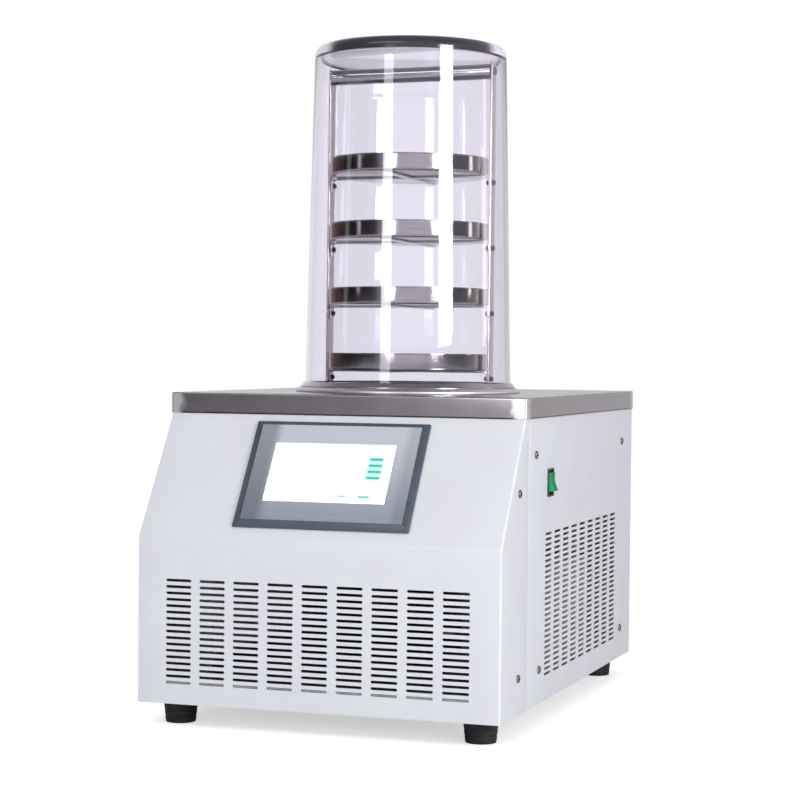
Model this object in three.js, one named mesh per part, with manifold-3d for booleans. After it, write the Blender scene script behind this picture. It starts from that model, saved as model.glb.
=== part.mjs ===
// Benchtop freeze dryer: a painted sheet-metal cabinet with a stainless worktop, a cold trap sunk into the
// worktop, and a clear bell jar over a rack of four trays. Millimetres, +X right, +Y back, +Z up. The front
// faces -Y.
// The origin lies on the floor under the middle of the overall box.

import * as THREE from "three";
import { mergeGeometries, mergeVertices } from "three/addons/utils/BufferGeometryUtils.js";
import Module from "manifold-3d";

const wasm = await Module();
wasm.setup();

// ---------------------------------------------------------------- sizes

const gap = 0.3; // clearance wherever two pieces meet
const sheet = 1.5; // painted steel of the covers, base pan and posts
const stainless = 1.2; // sheet of the worktop, trap and trays
const roundSteps = 40; // facets round a large turned piece
const mediumSteps = 20; // facets round a foot, a pipe or the handle
const smallSteps = 8; // facets round a screw or a hole
const tubeSides = 6; // facets round a bent tube
const tubeTension = 0.5; // of the curve through a tube's points

// Cabinet
const bodyWidth = 448;
const bodyDepth = 650;
const bodyHeight = 341; // from the base to the worktop's folded edge
const frontHeight = 197; // upright part of the front, under the sloping panel
const slopeSetback = 95; // how far the sloping panel leans back
const apronHeight = 25; // folded edge of the worktop
const sideWrap = 112; // how far the front cover wraps round each side
const panHeight = 27; // upturned edge of the base pan
const lipWidth = 12; // stiffening lip along the top of a side panel
const rearReturn = 84; // forward-folded edges of the rear panel
const postFlange = 20; // inward flange of a frame post
const postMargin = 7; // its sheet reaches this far past the outermost screws

// Rubber feet
const footHeight = 28;
const footTopRadius = 21;
const footBaseRadius = 18;
const footInsetX = 36; // from the cabinet's side to a foot's axis
const footInsetY = 46; // from its front or rear

// Ventilation slots
const slotLength = 30;
const slotHeight = 3.2;
const frontSlotColumns = 9;
const frontSlotRows = 17;
const frontSlotPitchX = 42.8;
const frontSlotPitchZ = 7.55;
const frontSlotBase = 25.5; // lowest row above the cabinet's base
const sideSlotColumns = 9;
const sideSlotRows = 27;
const sideSlotPitchY = 42;
const sideSlotPitchZ = 6.5;
const sideSlotBase = 31.5;
const sideSlotCentre = 372; // middle of the field behind the front face
const rearSlotColumns = 3;
const rearSlotPitchX = 40;
const rearSlotRows = 8;
const rearSlotPitchZ = 9;
const rearSlotBase = 210;

// Cover screws
const screwHeadRadius = 4.6;
const screwHeadHeight = 2.4;
const screwCrownRadius = 2.8; // flat top of the domed head
const screwRimHeight = 0.9; // upright rim of the head
const screwShankRadius = 2;
const screwShankLength = 9;
const wrapScrewInset = 41; // from the seam to the front cover's screws
const wrapScrewTop = 256; // above the cabinet's base
const wrapScrewBase = 43;
const panelScrewInset = 29; // from the seam to the side panel's upper front screw
const panelScrewStep = 21; // its lower front screw sits this much further back
const panelScrewRear = 63; // from the rear face to the rear screws
const panelScrewTop = 298;
const panelScrewBase = 41;

// Touch screen on the sloping panel
const screenWidth = 218;
const screenHeight = 145;
const screenCentreX = 2;
const screenFromApron = 11; // down the slope from the worktop's edge
const bezelProud = 6;
const bezelEdge = 3; // height of the frame's upright edge
const bezelChamfer = 5; // width of its sloping rim
const bezelBoxMargin = 8; // the housing behind the panel is this much smaller all round
const bezelBoxDepth = 26;
const displayWidth = 151;
const displayHeight = 79;
const displayShiftX = -2;
const displayShiftZ = 1.5;
const displayThickness = 1.5;
const displaySink = 0.4; // below the bezel's face

// Mains rocker switch on the right side
const switchFromFront = 207;
const switchHeightAboveBase = 262;
const switchWidth = 25;
const switchHeight = 34;
const switchProud = 2;
const switchRim = 2.2; // frame round the rocker
const switchBodyDepth = 24;
const rockerHalfHeight = 13;
const rockerProud = 6; // ends of the rocker in front of its pivot
const rockerDepth = 6; // back of the rocker behind its pivot
const rockerFlank = 3; // its flanks run back this far before they turn in
const rockerFlankHalf = 9.8;
const rockerDip = 2; // shallow valley between the two pads
const rockerTilt = 11; // degrees either side of the middle

// Cold trap and seal under the bell jar
const chamberFromFront = 330; // axis behind the front face
const trapLedge = 9.5; // seal ring between the trap's mouth and the rack's posts
const trapDepth = 150;
const trapRimWidth = 14;
const insulationThickness = 25;
const sealRingMargin = 12.5; // ring outside the jar
const sealRingEdge = 2.5;
const sealRingHeight = 6;
const gasketFoot = 6; // how far the gasket's conical skirt spreads
const gasketLip = 1.5; // thickness of the skirt's upper edge
const gasketHeight = 6;
const gasketSeat = 3; // jar rim rests this far above the seal ring
const gasketInset = 5; // gasket reaches this far inside the jar wall

// Bell jar
const jarSideGap = 3.5; // between the top of its wall and the rack's bolts
const jarTaper = 9; // wider at the rim than at the top
const jarHeight = 434;
const jarWall = 6;
const jarCrown = 15; // thickness of the flat top
const jarCorner = 12; // rounding of the top edge
const jarCornerSteps = 4;
const jarInnerCorner = 3;

// Tray rack
const trayRadius = 102.7;
const trayHeight = 22;
const trayCorner = 3;
const trayPitch = 83.5;
const trayFirst = 28; // lowest tray's floor above the worktop
const trayCount = 4;
const supportWidth = 12;
const supportThickness = 2;
const supportTab = 15; // downturned ends that bolt to the posts
const supportInset = 8.7; // front and rear arms end this far inside the tray's edge
const postWidth = 20;
const postThickness = 2.5;
const postClearance = 5.8; // between a tray and a post
const rackHeadroom = 8.1; // between the posts and the underside of the jar's crown
const handleRadius = 10;
const boltRadius = 1.8; // shank
const boltClearance = 0.3;
const nutRadius = 3.6; // across the corners, halved
const nutHeight = 3;
const hexSides = 6;

// Evaporator coil in the trap
const coilTubeRadius = 4.5;
const coilClearance = 8; // between coil and trap wall
const coilTurns = 5;
const coilPitch = 18;
const coilSteps = 12; // facets round one turn
const coilRiserInset = 22; // the return leg runs this far inside the coil
const coilLift = 22; // lowest turn above the trap's floor
const coilTail = 9; // bare tube below the insulation

// Vacuum pipe to the rear
const portPipeRadius = 14;
const portPipeWall = 1.5;
const portFlangeRadius = 20;
const portFlangeThickness = 3;
const portProud = 28; // behind the rear panel
const portDepth = 88; // below the worktop

// Drain pipe and valve
const drainRadius = 6;
const drainBore = 4;
const drainDrop = 17; // below the trap's insulation
const drainBend = 14;
const valveRadius = 11;
const valveLength = 26;
const valveStub = 10; // bare pipe between the panel and the valve
const leverLength = 46;
const leverWidth = 9;
const leverThickness = 3;
const leverHubRadius = 6.3;
const stemRadius = 3.5;
const stemHeight = 7;

// Refrigeration
const compressorRadius = 68;
const compressorHeight = 134;
const compressorFoot = 10;
const compressorCrown = 34; // radius of the shell's flat top
const compressorBase = 56; // radius of its flat bottom
const compressorShoulder = 66; // radius where the domes meet the side
const compressorDomeBase = 16; // height of the lower dome
const compressorDomeTop = 24; // height of the upper dome
const compressorPlateX = 136;
const compressorPlateY = 95;
const compressorLegX = 57; // mounts left and right of the axis
const compressorLegY = 37;
const compressorLegRadius = 9.5;
const portSpacing = 26; // between the suction and discharge ports
const compressorFromSide = 118; // axis from the cabinet's left side
const compressorFromRear = 140;
const condenserThickness = 40;
const condenserLength = 280;
const condenserHeight = 150;
const condenserFromSide = 26; // behind the right side panel
const condenserFins = 22;
const condenserCoreInset = 3; // core behind the fins' edges
const condenserCoreLift = 6;
const finLift = 4; // bottom of the fins above the pan
const finCap = 3; // fins reach this far above the core
const finThickness = 5;
const shroudThickness = 30;
const shroudWidth = 152;
const fanRadius = 62;
const fanHubRadius = 20;
const fanHubLength = 15;
const fanRootDepth = 4; // blades start this far inside the hub
const fanTipClearance = 4;
const fanBlades = 5;
const fanBladeChord = 34;
const fanBladePitch = 32; // degrees
const fanBladeThickness = 2;
const motorRadius = 27;
const motorLength = 42;
const motorArm = 12;
const motorShaftRadius = 3.4;
const lineRadius = 4;
const liquidLineRadius = 2.8;
const lineBend = 12; // radius of the bends in the copper lines
const lineClearance = 15; // between the discharge line and the drain pipe over it
const lineSteps = 3; // facets between two points of a line's route
const drierRadius = 11;
const drierLength = 60;
const drierStub = 5; // bare tube at each end of the drier
const drierTaper = 9; // length of each cone

// Electrics at the rear
const controlWidth = 140;
const controlDepth = 62;
const controlHeight = 118;
const controlFromRear = 38;
const controlClearance = 10; // between the box and the condenser
const inletWidth = 48;
const inletHeight = 28;
const inletProud = 3;
const inletDepth = 24;
const inletFlangeX = 4.5; // flange round the body, left and right
const inletFlangeZ = 3;
const inletWellWidth = 24;
const inletWellHeight = 14;
const inletWellDepth = 17;
const inletHeightAboveBase = 90;
const inletX = 120;

// ---------------------------------------------------------------- places worked out from the sizes

const halfWidth = bodyWidth / 2;
const frontY = -bodyDepth / 2;
const rearY = bodyDepth / 2;
const baseZ = footHeight;
const bendZ = baseZ + frontHeight;
const apronZ = baseZ + bodyHeight; // lower edge of the worktop's apron
const worktopZ = apronZ + apronHeight; // upper face of the worktop
const coverTop = worktopZ - stainless - gap;
const seamY = frontY + sideWrap;
const slopeAngle = Math.atan2(slopeSetback, bodyHeight - frontHeight);
const panHalf = halfWidth - sheet - gap; // base pan, outside its upturned edges
const floorZ = baseZ + sheet + gap; // what stands in the cabinet starts here
const chamberY = frontY + chamberFromFront;
const postInner = trayRadius + postClearance;
const trapRadius = postInner - trapLedge; // inside
const jarTopRadius = postInner + postThickness + nutHeight + jarSideGap + jarWall;
const jarBaseRadius = jarTopRadius + jarTaper;
const sealRingRadius = jarBaseRadius + sealRingMargin;
const rackHeight = jarHeight + gasketSeat + gap - jarCrown - rackHeadroom;
const trapTop = worktopZ - stainless - gap - sheet; // underside of the trap's rim
const trapFloor = worktopZ - trapDepth;
const insulationBase = trapFloor - stainless - gap - insulationThickness;
const boltAxis = supportThickness + supportTab / 2; // bolts below a tray's floor

// ---------------------------------------------------------------- solids

// A three.js geometry as a manifold-3d solid.
function solidOf(geometry) {
  const bare = geometry.index ? geometry.toNonIndexed() : geometry.clone();
  for (const name of Object.keys(bare.attributes)) {
    if (name !== "position") bare.deleteAttribute(name);
  }
  const merged = mergeVertices(bare, 1e-4);
  const corners = [];
  for (let i = 0; i < merged.index.count; i += 3) {
    const [a, b, c] = [0, 1, 2].map((k) => merged.index.getX(i + k));
    if (a !== b && b !== c && c !== a) corners.push(a, b, c);
  }
  const vertProperties = merged.attributes.position.array;
  const triVerts = new Uint32Array(corners);
  return new wasm.Manifold(new wasm.Mesh({ numProp: 3, vertProperties, triVerts }));
}

// A manifold-3d solid as a three.js geometry.
function geometryOf(solid) {
  const mesh = solid.getMesh();
  const geometry = new THREE.BufferGeometry();
  geometry.setAttribute("position", new THREE.BufferAttribute(new Float32Array(mesh.vertProperties), 3));
  geometry.setIndex(new THREE.BufferAttribute(new Uint32Array(mesh.triVerts), 1));
  geometry.computeVertexNormals();
  return geometry;
}

function joined(...geometries) {
  return geometries.map(solidOf).reduce((sum, part) => sum.add(part));
}

// The first solid less every geometry in the list.
function cut(solid, geometries) {
  return geometries.reduce((left, tool) => left.subtract(solidOf(tool)), solid);
}

function block(x0, x1, y0, y1, z0, z1) {
  const box = new THREE.BoxGeometry(x1 - x0, y1 - y0, z1 - z0);
  return box.translate((x0 + x1) / 2, (y0 + y1) / 2, (z0 + z1) / 2);
}

function shapeOf(points) {
  return new THREE.Shape(points.map(([a, b]) => new THREE.Vector2(a, b)));
}

// An outline of [y, z] points carried along X.
function prismAlongX(points, x0, x1) {
  const prism = new THREE.ExtrudeGeometry(shapeOf(points), { depth: x1 - x0, bevelEnabled: false });
  const turn = new THREE.Matrix4().set(0, 0, 1, x0, 1, 0, 0, 0, 0, 1, 0, 0, 0, 0, 0, 1);
  return prism.applyMatrix4(turn);
}

// An outline of [x, z] points carried along Y.
function prismAlongY(points, y0, y1) {
  const prism = new THREE.ExtrudeGeometry(shapeOf(points), { depth: y1 - y0, bevelEnabled: false });
  return prism.rotateX(Math.PI / 2).translate(0, y1, 0);
}

// An outline of [x, y] points carried along Z.
function prismAlongZ(points, z0, z1, side) {
  const ordered = side > 0 ? [...points].reverse() : points;
  const prism = new THREE.ExtrudeGeometry(shapeOf(ordered), { depth: z1 - z0, bevelEnabled: false });
  return prism.translate(0, 0, z0);
}

// A profile of [radius, height] points turned about Z. It runs up the outside and back down the inside.
function turned(profile, steps = roundSteps) {
  const area = profile.reduce((sum, [r, z], i) => {
    const [r2, z2] = profile[(i + 1) % profile.length];
    return sum + (r * z2 - r2 * z);
  }, 0);
  const ordered = area > 0 ? [...profile] : [...profile].reverse();
  const onAxis = ordered.filter(([r]) => r === 0).length;
  if (onAxis === 0) {
    ordered.push(ordered[0]);
  } else {
    while (ordered[0][0] !== 0 || ordered[ordered.length - 1][0] !== 0) ordered.push(ordered.shift());
  }
  const lathe = new THREE.LatheGeometry(ordered.map(([r, z]) => new THREE.Vector2(r, z)), steps);
  return lathe.rotateX(Math.PI / 2);
}

// A plain cylinder between two heights, or along X or Y between two places.
function rod(radius, from, to, steps = smallSteps, axis = "z") {
  const cylinder = new THREE.CylinderGeometry(radius, radius, to - from, steps);
  cylinder.translate(0, (from + to) / 2, 0);
  if (axis === "z") return cylinder.rotateX(Math.PI / 2);
  if (axis === "x") return cylinder.rotateZ(-Math.PI / 2);
  return cylinder;
}

// A smooth curve sampled evenly between its points, so that a tube along it passes through each of them.
class Route extends THREE.CatmullRomCurve3 {
  getPointAt(u, target) {
    return this.getPoint(u, target);
  }

  getTangentAt(u, target) {
    return this.getTangent(u, target);
  }
}

function ringOf(shape, radius, sides) {
  for (let i = 0; i < sides; i += 1) {
    const angle = (2 * Math.PI * i) / sides;
    const [x, y] = [radius * Math.cos(angle), radius * Math.sin(angle)];
    if (i === 0) shape.moveTo(x, y);
    else shape.lineTo(x, y);
  }
  return shape;
}

// A round section, hollow if it has a bore, carried along a curve through the points.
function tubeThrough(points, radius, stepsPerSpan, sides = tubeSides, bore = 0) {
  const places = points.map(([x, y, z]) => new THREE.Vector3(x, y, z));
  const path = new Route(places, false, "catmullrom", tubeTension);
  const steps = stepsPerSpan * (points.length - 1);
  const section = ringOf(new THREE.Shape(), radius, sides);
  if (bore > 0) section.holes.push(ringOf(new THREE.Path(), bore, sides));
  return new THREE.ExtrudeGeometry(section, { steps, bevelEnabled: false, extrudePath: path });
}

// ---------------------------------------------------------------- materials

function material(color, roughness, metalness, extra = {}) {
  return new THREE.MeshStandardMaterial({ color, roughness, metalness, ...extra });
}

const paint = material(0xdedfe6, 0.45, 0);
const brushedSteel = material(0xa9a5a6, 0.32, 1);
const polishedSteel = material(0xb9b9bc, 0.2, 1);
const zincSteel = material(0x9a9ca0, 0.4, 1);
const clearAcrylic = material(0xe8e6f2, 0.05, 0, { transparent: true, opacity: 0.3 });
const sealRubber = material(0x3a3b42, 0.7, 0);
const footRubber = material(0x1c1c1e, 0.8, 0);
const bezelPlastic = material(0x8f95a6, 0.4, 0);
const displayGlass = material(0xf6fffb, 0.15, 0);
const switchPlastic = material(0x1e1f22, 0.5, 0);
const rockerGreen = material(0x18a05c, 0.3, 0);
const screwSteel = material(0x8a8583, 0.35, 1);
const foam = material(0xd9cfae, 0.9, 0);
const blackEnamel = material(0x17181a, 0.4, 0.2);
const copper = material(0xb56a45, 0.35, 1);
const finAluminium = material(0xb7b6a8, 0.5, 1);
const fanPlastic = material(0x2a2b2e, 0.6, 0);

const dryer = new THREE.Group();

function add(parent, name, shape, look, place = [0, 0, 0]) {
  const mesh = new THREE.Mesh(shape.isBufferGeometry ? shape : geometryOf(shape), look);
  mesh.name = name;
  mesh.position.set(...place);
  parent.add(mesh);
  return mesh;
}

// ---------------------------------------------------------------- feet

function foot() {
  const top = footHeight - gap;
  return turned([[0, 0], [footBaseRadius, 0], [footTopRadius, top], [0, top]], mediumSteps);
}

const footX = halfWidth - footInsetX;
const footY = bodyDepth / 2 - footInsetY;
for (const [front, y] of [["front", -footY], ["rear", footY]]) {
  for (const [side, x] of [["left", -footX], ["right", footX]]) {
    add(dryer, `foot_${front}_${side}`, foot(), footRubber, [x, y, 0]);
  }
}

// ---------------------------------------------------------------- sheet-metal cabinet

const panRearY = rearY - sheet - gap;
const panFrontY = frontY + sheet + gap;

function basePan() {
  const shell = solidOf(block(-panHalf, panHalf, panFrontY, panRearY, baseZ, baseZ + panHeight));
  const inside = block(
    -panHalf + sheet,
    panHalf - sheet,
    panFrontY + sheet,
    panRearY - sheet,
    baseZ + sheet,
    baseZ + 2 * panHeight,
  );
  return cut(shell, [inside]);
}

// The chain of [y, z] points moved to the cabinet's inside by the sheet's thickness.
function insideOf(chain, thickness) {
  const normals = chain.slice(1).map(([y, z], i) => {
    const [dy, dz] = [y - chain[i][0], z - chain[i][1]];
    const length = Math.hypot(dy, dz);
    return [dz / length, -dy / length];
  });
  return chain.map(([y, z], i) => {
    const before = normals[Math.max(i - 1, 0)];
    const after = normals[Math.min(i, normals.length - 1)];
    const share = thickness / (1 + before[0] * after[0] + before[1] * after[1]);
    return [y + share * (before[0] + after[0]), z + share * (before[1] + after[1])];
  });
}

const frontProfile = [
  [frontY, baseZ],
  [frontY, bendZ],
  [frontY + slopeSetback, apronZ],
  [frontY + slopeSetback, coverTop],
];

// Evenly spaced slots in one geometry. place(u, v) gives the block for a slot centred on u, v.
function slotField(columns, rows, pitchU, pitchV, centreU, baseV, place) {
  const slots = [];
  for (let i = 0; i < columns; i += 1) {
    for (let j = 0; j < rows; j += 1) {
      slots.push(place(centreU + (i - (columns - 1) / 2) * pitchU, baseV + j * pitchV));
    }
  }
  return mergeGeometries(slots);
}

const screwReach = halfWidth - 3 * sheet - 4 * gap - screwShankLength;

// Screw places on a side, as [y, z].
const wrapScrews = [
  [seamY - wrapScrewInset, baseZ + wrapScrewTop],
  [seamY - wrapScrewInset, baseZ + wrapScrewBase],
];
const panelScrews = [
  [seamY + panelScrewInset, baseZ + panelScrewTop],
  [rearY - panelScrewRear, baseZ + panelScrewTop],
  [seamY + panelScrewInset + panelScrewStep, baseZ + panelScrewBase],
  [rearY - panelScrewRear, baseZ + panelScrewBase],
];

// Holes along X through the right or left wall for the screws in the list.
function sideHoles(places, side) {
  const holes = places.map(([y, z]) => {
    const [from, to] = side > 0 ? [screwReach, halfWidth + sheet] : [-halfWidth - sheet, -screwReach];
    return rod(screwShankRadius + gap, from, to, smallSteps, "x").translate(0, y, z);
  });
  return mergeGeometries(holes);
}

const screenPlace = new THREE.Matrix4()
  .makeTranslation(screenCentreX, frontY + slopeSetback, apronZ)
  .multiply(new THREE.Matrix4().makeRotationX(-slopeAngle));
const screenTop = -screenFromApron;
const screenBase = screenTop - screenHeight;

// Opening in the sloping panel for the screen's housing.
function screenOpening() {
  const half = screenWidth / 2 - bezelBoxMargin + gap;
  const opening = block(
    -half,
    half,
    -sheet,
    3 * sheet,
    screenBase + bezelBoxMargin - gap,
    screenTop - bezelBoxMargin + gap,
  );
  return opening.applyMatrix4(screenPlace);
}

function frontCover() {
  const rearEdge = seamY - gap / 2;
  const outline = [...frontProfile, [rearEdge, coverTop], [rearEdge, baseZ]].reverse();
  const skin = solidOf(prismAlongX(outline, -halfWidth, halfWidth));
  const inner = insideOf(frontProfile, sheet);
  const [firstY] = inner[0];
  const [lastY] = inner[inner.length - 1];
  const hollow = [[firstY, baseZ - sheet], ...inner.slice(1, -1), [lastY, coverTop + sheet]];
  const room = [...hollow, [seamY + sheet, coverTop + sheet], [seamY + sheet, baseZ - sheet]].reverse();
  const slots = slotField(
    frontSlotColumns,
    frontSlotRows,
    frontSlotPitchX,
    frontSlotPitchZ,
    0,
    baseZ + frontSlotBase,
    (x, z) =>
      block(
        x - slotLength / 2,
        x + slotLength / 2,
        frontY - sheet,
        frontY + 2 * sheet,
        z - slotHeight / 2,
        z + slotHeight / 2,
      ),
  );
  return cut(skin, [
    prismAlongX(room, -halfWidth + sheet, halfWidth - sheet),
    slots,
    screenOpening(),
    sideHoles(wrapScrews, 1),
    sideHoles(wrapScrews, -1),
  ]);
}

const switchY = frontY + switchFromFront;
const switchZ = baseZ + switchHeightAboveBase;
const switchCutY = switchWidth / 2 - switchRim + gap;
const switchCutZ = switchHeight / 2 - switchRim + gap;

function sidePanel(side, openings) {
  const frontEdge = seamY + gap / 2;
  const [inner, outer] = [halfWidth - sheet, halfWidth];
  const lipRear = rearY - rearReturn - gap;
  const flat = block(inner, outer, frontEdge, rearY, baseZ, coverTop);
  const lip = block(inner - lipWidth, outer, frontEdge, lipRear, coverTop - sheet, coverTop);
  const panel = joined(flat, lip);
  const whole = side > 0 ? panel : panel.mirror([1, 0, 0]);
  return cut(whole, [sideHoles(panelScrews, side), ...openings]);
}

function sideSlots() {
  return slotField(
    sideSlotColumns,
    sideSlotRows,
    sideSlotPitchY,
    sideSlotPitchZ,
    frontY + sideSlotCentre,
    baseZ + sideSlotBase,
    (y, z) =>
      block(
        halfWidth - 2 * sheet,
        halfWidth + sheet,
        y - slotLength / 2,
        y + slotLength / 2,
        z - slotHeight / 2,
        z + slotHeight / 2,
      ),
  );
}

function switchOpening() {
  return block(
    halfWidth - 2 * sheet,
    halfWidth + sheet,
    switchY - switchCutY,
    switchY + switchCutY,
    switchZ - switchCutZ,
    switchZ + switchCutZ,
  );
}

const portZ = worktopZ - portDepth;
const drainZ = insulationBase - drainDrop;
const inletZ = baseZ + inletHeightAboveBase;
const inletCutX = inletWidth / 2 - inletFlangeX;
const inletCutZ = inletHeight / 2 - inletFlangeZ;
const rearHalf = halfWidth - sheet - gap;

function rearPanel() {
  const returnBase = baseZ + panHeight + gap;
  const face = block(-rearHalf, rearHalf, rearY - sheet, rearY, baseZ, coverTop);
  const returns = [-1, 1].map((side) => {
    const [a, b] = [side * rearHalf, side * (rearHalf - sheet)];
    return block(Math.min(a, b), Math.max(a, b), rearY - rearReturn, rearY, returnBase, coverTop);
  });
  const slots = slotField(
    rearSlotColumns,
    rearSlotRows,
    rearSlotPitchX,
    rearSlotPitchZ,
    -halfWidth + compressorFromSide,
    baseZ + rearSlotBase,
    (x, z) =>
      block(
        x - slotLength / 2,
        x + slotLength / 2,
        rearY - 2 * sheet,
        rearY + sheet,
        z - slotHeight / 2,
        z + slotHeight / 2,
      ),
  );
  const [holeFrom, holeTo] = [rearY - 2 * sheet, rearY + sheet];
  const rearScrews = panelScrews.filter(([y]) => y > rearY - rearReturn);
  return cut(joined(face, ...returns), [
    slots,
    rod(portPipeRadius + gap, holeFrom, holeTo, mediumSteps, "y").translate(0, 0, portZ),
    rod(drainRadius + gap, holeFrom, holeTo, smallSteps, "y").translate(0, 0, drainZ),
    block(
      inletX - inletCutX - gap,
      inletX + inletCutX + gap,
      holeFrom,
      holeTo,
      inletZ - inletCutZ - gap,
      inletZ + inletCutZ + gap,
    ),
    sideHoles(rearScrews, 1),
    sideHoles(rearScrews, -1),
  ]);
}

// Upright behind each seam. Its flat flange takes the screws of the front cover and of the side panel.
function framePost(side) {
  const outer = panHalf - sheet - gap;
  const edge = insideOf(frontProfile, 3 * sheet);
  const postFront = seamY - wrapScrewInset - postMargin;
  const postRear = seamY + panelScrewInset + panelScrewStep + postMargin;
  const top = coverTop - sheet - gap;
  const [, [bendY, bendInnerZ], [slopeY, slopeTopZ]] = edge;
  const slopeZ = bendInnerZ + ((postFront - bendY) * (slopeTopZ - bendInnerZ)) / (slopeY - bendY);
  const outline = [
    [postFront, floorZ],
    [postRear, floorZ],
    [postRear, top],
    [slopeY, top],
    [slopeY, slopeTopZ],
    [postFront, slopeZ],
  ];
  const flange = prismAlongX(outline, outer - sheet, outer);
  const web = block(outer - postFlange, outer, postRear - sheet, postRear, floorZ, top);
  const post = joined(flange, web);
  const whole = side > 0 ? post : post.mirror([1, 0, 0]);
  const held = [...wrapScrews, ...panelScrews.filter(([y]) => y < postRear)];
  return cut(whole, [sideHoles(held, side)]);
}

function worktop() {
  const halfTop = halfWidth + gap + stainless;
  const front = frontY + slopeSetback - gap - stainless;
  const rear = rearY + gap + stainless;
  const shell = solidOf(block(-halfTop, halfTop, front, rear, apronZ, worktopZ));
  const inside = block(
    -halfTop + stainless,
    halfTop - stainless,
    front + stainless,
    rear - stainless,
    apronZ - stainless,
    worktopZ - stainless,
  );
  const mouth = rod(trapRadius + stainless + gap, apronZ, worktopZ + apronHeight, roundSteps);
  return cut(shell, [inside, mouth.translate(0, chamberY, 0)]);
}

add(dryer, "base_pan", basePan(), zincSteel);
add(dryer, "front_cover", frontCover(), paint);
add(dryer, "side_panel_right", sidePanel(1, [sideSlots(), switchOpening()]), paint);
add(dryer, "side_panel_left", sidePanel(-1, []), paint);
add(dryer, "rear_panel", rearPanel(), paint);
add(dryer, "frame_post_right", framePost(1), zincSteel);
add(dryer, "frame_post_left", framePost(-1), zincSteel);
add(dryer, "worktop", worktop(), brushedSteel);

// ---------------------------------------------------------------- cover screws

// Pan-head screw along -Z, with its head's underside at z = 0.
function coverScrew() {
  return turned(
    [
      [0, screwHeadHeight],
      [screwCrownRadius, screwHeadHeight],
      [screwHeadRadius, screwRimHeight],
      [screwHeadRadius, gap],
      [screwShankRadius, gap],
      [screwShankRadius, -screwShankLength],
      [0, -screwShankLength],
    ],
    smallSteps,
  );
}

for (const [sideName, side] of [["right", 1], ["left", -1]]) {
  [...wrapScrews, ...panelScrews].forEach(([y, z], i) => {
    const place = [side * halfWidth, y, z];
    const screw = add(dryer, `screw_${sideName}_${i + 1}`, coverScrew(), screwSteel, place);
    screw.rotation.y = (side * Math.PI) / 2;
  });
}

// ---------------------------------------------------------------- touch screen

function screenBezel() {
  const half = screenWidth / 2;
  const rim = bezelChamfer;
  // The frame stands on the panel at y = 0 and narrows towards its face.
  const frame = prismAlongX(
    [
      [-gap, screenBase],
      [-gap, screenTop],
      [-bezelEdge, screenTop],
      [-bezelProud, screenTop - rim],
      [-bezelProud, screenBase + rim],
      [-bezelEdge, screenBase],
    ].reverse(),
    -half,
    half,
  );
  const sides = [-1, 1].map((side) =>
    prismAlongZ(
      [
        [side * half, -bezelEdge],
        [side * (half - rim), -bezelProud],
        [side * (half - rim), -2 * bezelProud],
        [side * (half + rim), -2 * bezelProud],
        [side * (half + rim), -bezelEdge],
      ],
      screenBase - rim,
      screenTop + rim,
      side,
    ),
  );
  const box = block(
    -half + bezelBoxMargin,
    half - bezelBoxMargin,
    -bezelEdge,
    bezelBoxDepth,
    screenBase + bezelBoxMargin,
    screenTop - bezelBoxMargin,
  );
  const pocket = displayBlock(gap, -2 * bezelProud, -bezelProud + displaySink + displayThickness + gap);
  return cut(joined(frame, box), [...sides, pocket]);
}

const displayZ = (screenTop + screenBase) / 2 + displayShiftZ;

function displayBlock(margin, y0, y1) {
  const halfW = displayWidth / 2 + margin;
  const halfH = displayHeight / 2 + margin;
  return block(displayShiftX - halfW, displayShiftX + halfW, y0, y1, displayZ - halfH, displayZ + halfH);
}

const screen = new THREE.Group();
screen.applyMatrix4(screenPlace);
dryer.add(screen);
add(screen, "screen_bezel", screenBezel(), bezelPlastic);
const displayFace = -bezelProud + displaySink;
add(screen, "screen_display", displayBlock(0, displayFace, displayFace + displayThickness), displayGlass);

// ---------------------------------------------------------------- mains switch

const rockerWidth = switchWidth - 2 * switchRim - 4 * gap;

// Rocker about an axis along Y through its own origin, outwards is +X.
function rocker() {
  const profile = [
    [rockerProud, rockerHalfHeight],
    [-rockerFlank, rockerFlankHalf],
    [-rockerDepth, 0],
    [-rockerFlank, -rockerFlankHalf],
    [rockerProud, -rockerHalfHeight],
    [rockerProud - rockerDip, 0],
  ];
  return prismAlongY(profile, -rockerWidth / 2, rockerWidth / 2);
}

function switchHousing() {
  const [frameY, frameZ] = [switchWidth / 2, switchHeight / 2];
  const frame = block(gap, switchProud, -frameY, frameY, -frameZ, frameZ);
  const bodyY = switchWidth / 2 - switchRim;
  const bodyZ = switchHeight / 2 - switchRim;
  const body = block(-switchBodyDepth, switchProud / 2, -bodyY, bodyY, -bodyZ, bodyZ);
  const sweep = Math.hypot(rockerProud, rockerHalfHeight) + gap;
  const wallY = rockerWidth / 2 + gap;
  const well = block(-rockerDepth - gap, 2 * switchProud, -wallY, wallY, -sweep, sweep);
  return cut(joined(frame, body), [well]);
}

const mainsSwitch = new THREE.Group();
mainsSwitch.position.set(halfWidth, switchY, switchZ);
dryer.add(mainsSwitch);
add(mainsSwitch, "switch_housing", switchHousing(), switchPlastic);
const rockerMesh = add(mainsSwitch, "switch_rocker", rocker(), rockerGreen);
rockerMesh.rotation.y = -THREE.MathUtils.degToRad(rockerTilt);

// ---------------------------------------------------------------- cold trap

// Everything of the trap and chamber is turned about this axis.
const chamber = new THREE.Group();
chamber.position.set(0, chamberY, 0);
dryer.add(chamber);

const trapOuter = trapRadius + stainless;
const coilRadius = trapRadius - coilClearance - coilTubeRadius;
const riserRadius = coilRadius - coilRiserInset;
const coilBase = trapFloor + coilLift;
const tailEnd = insulationBase - coilTail;

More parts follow.
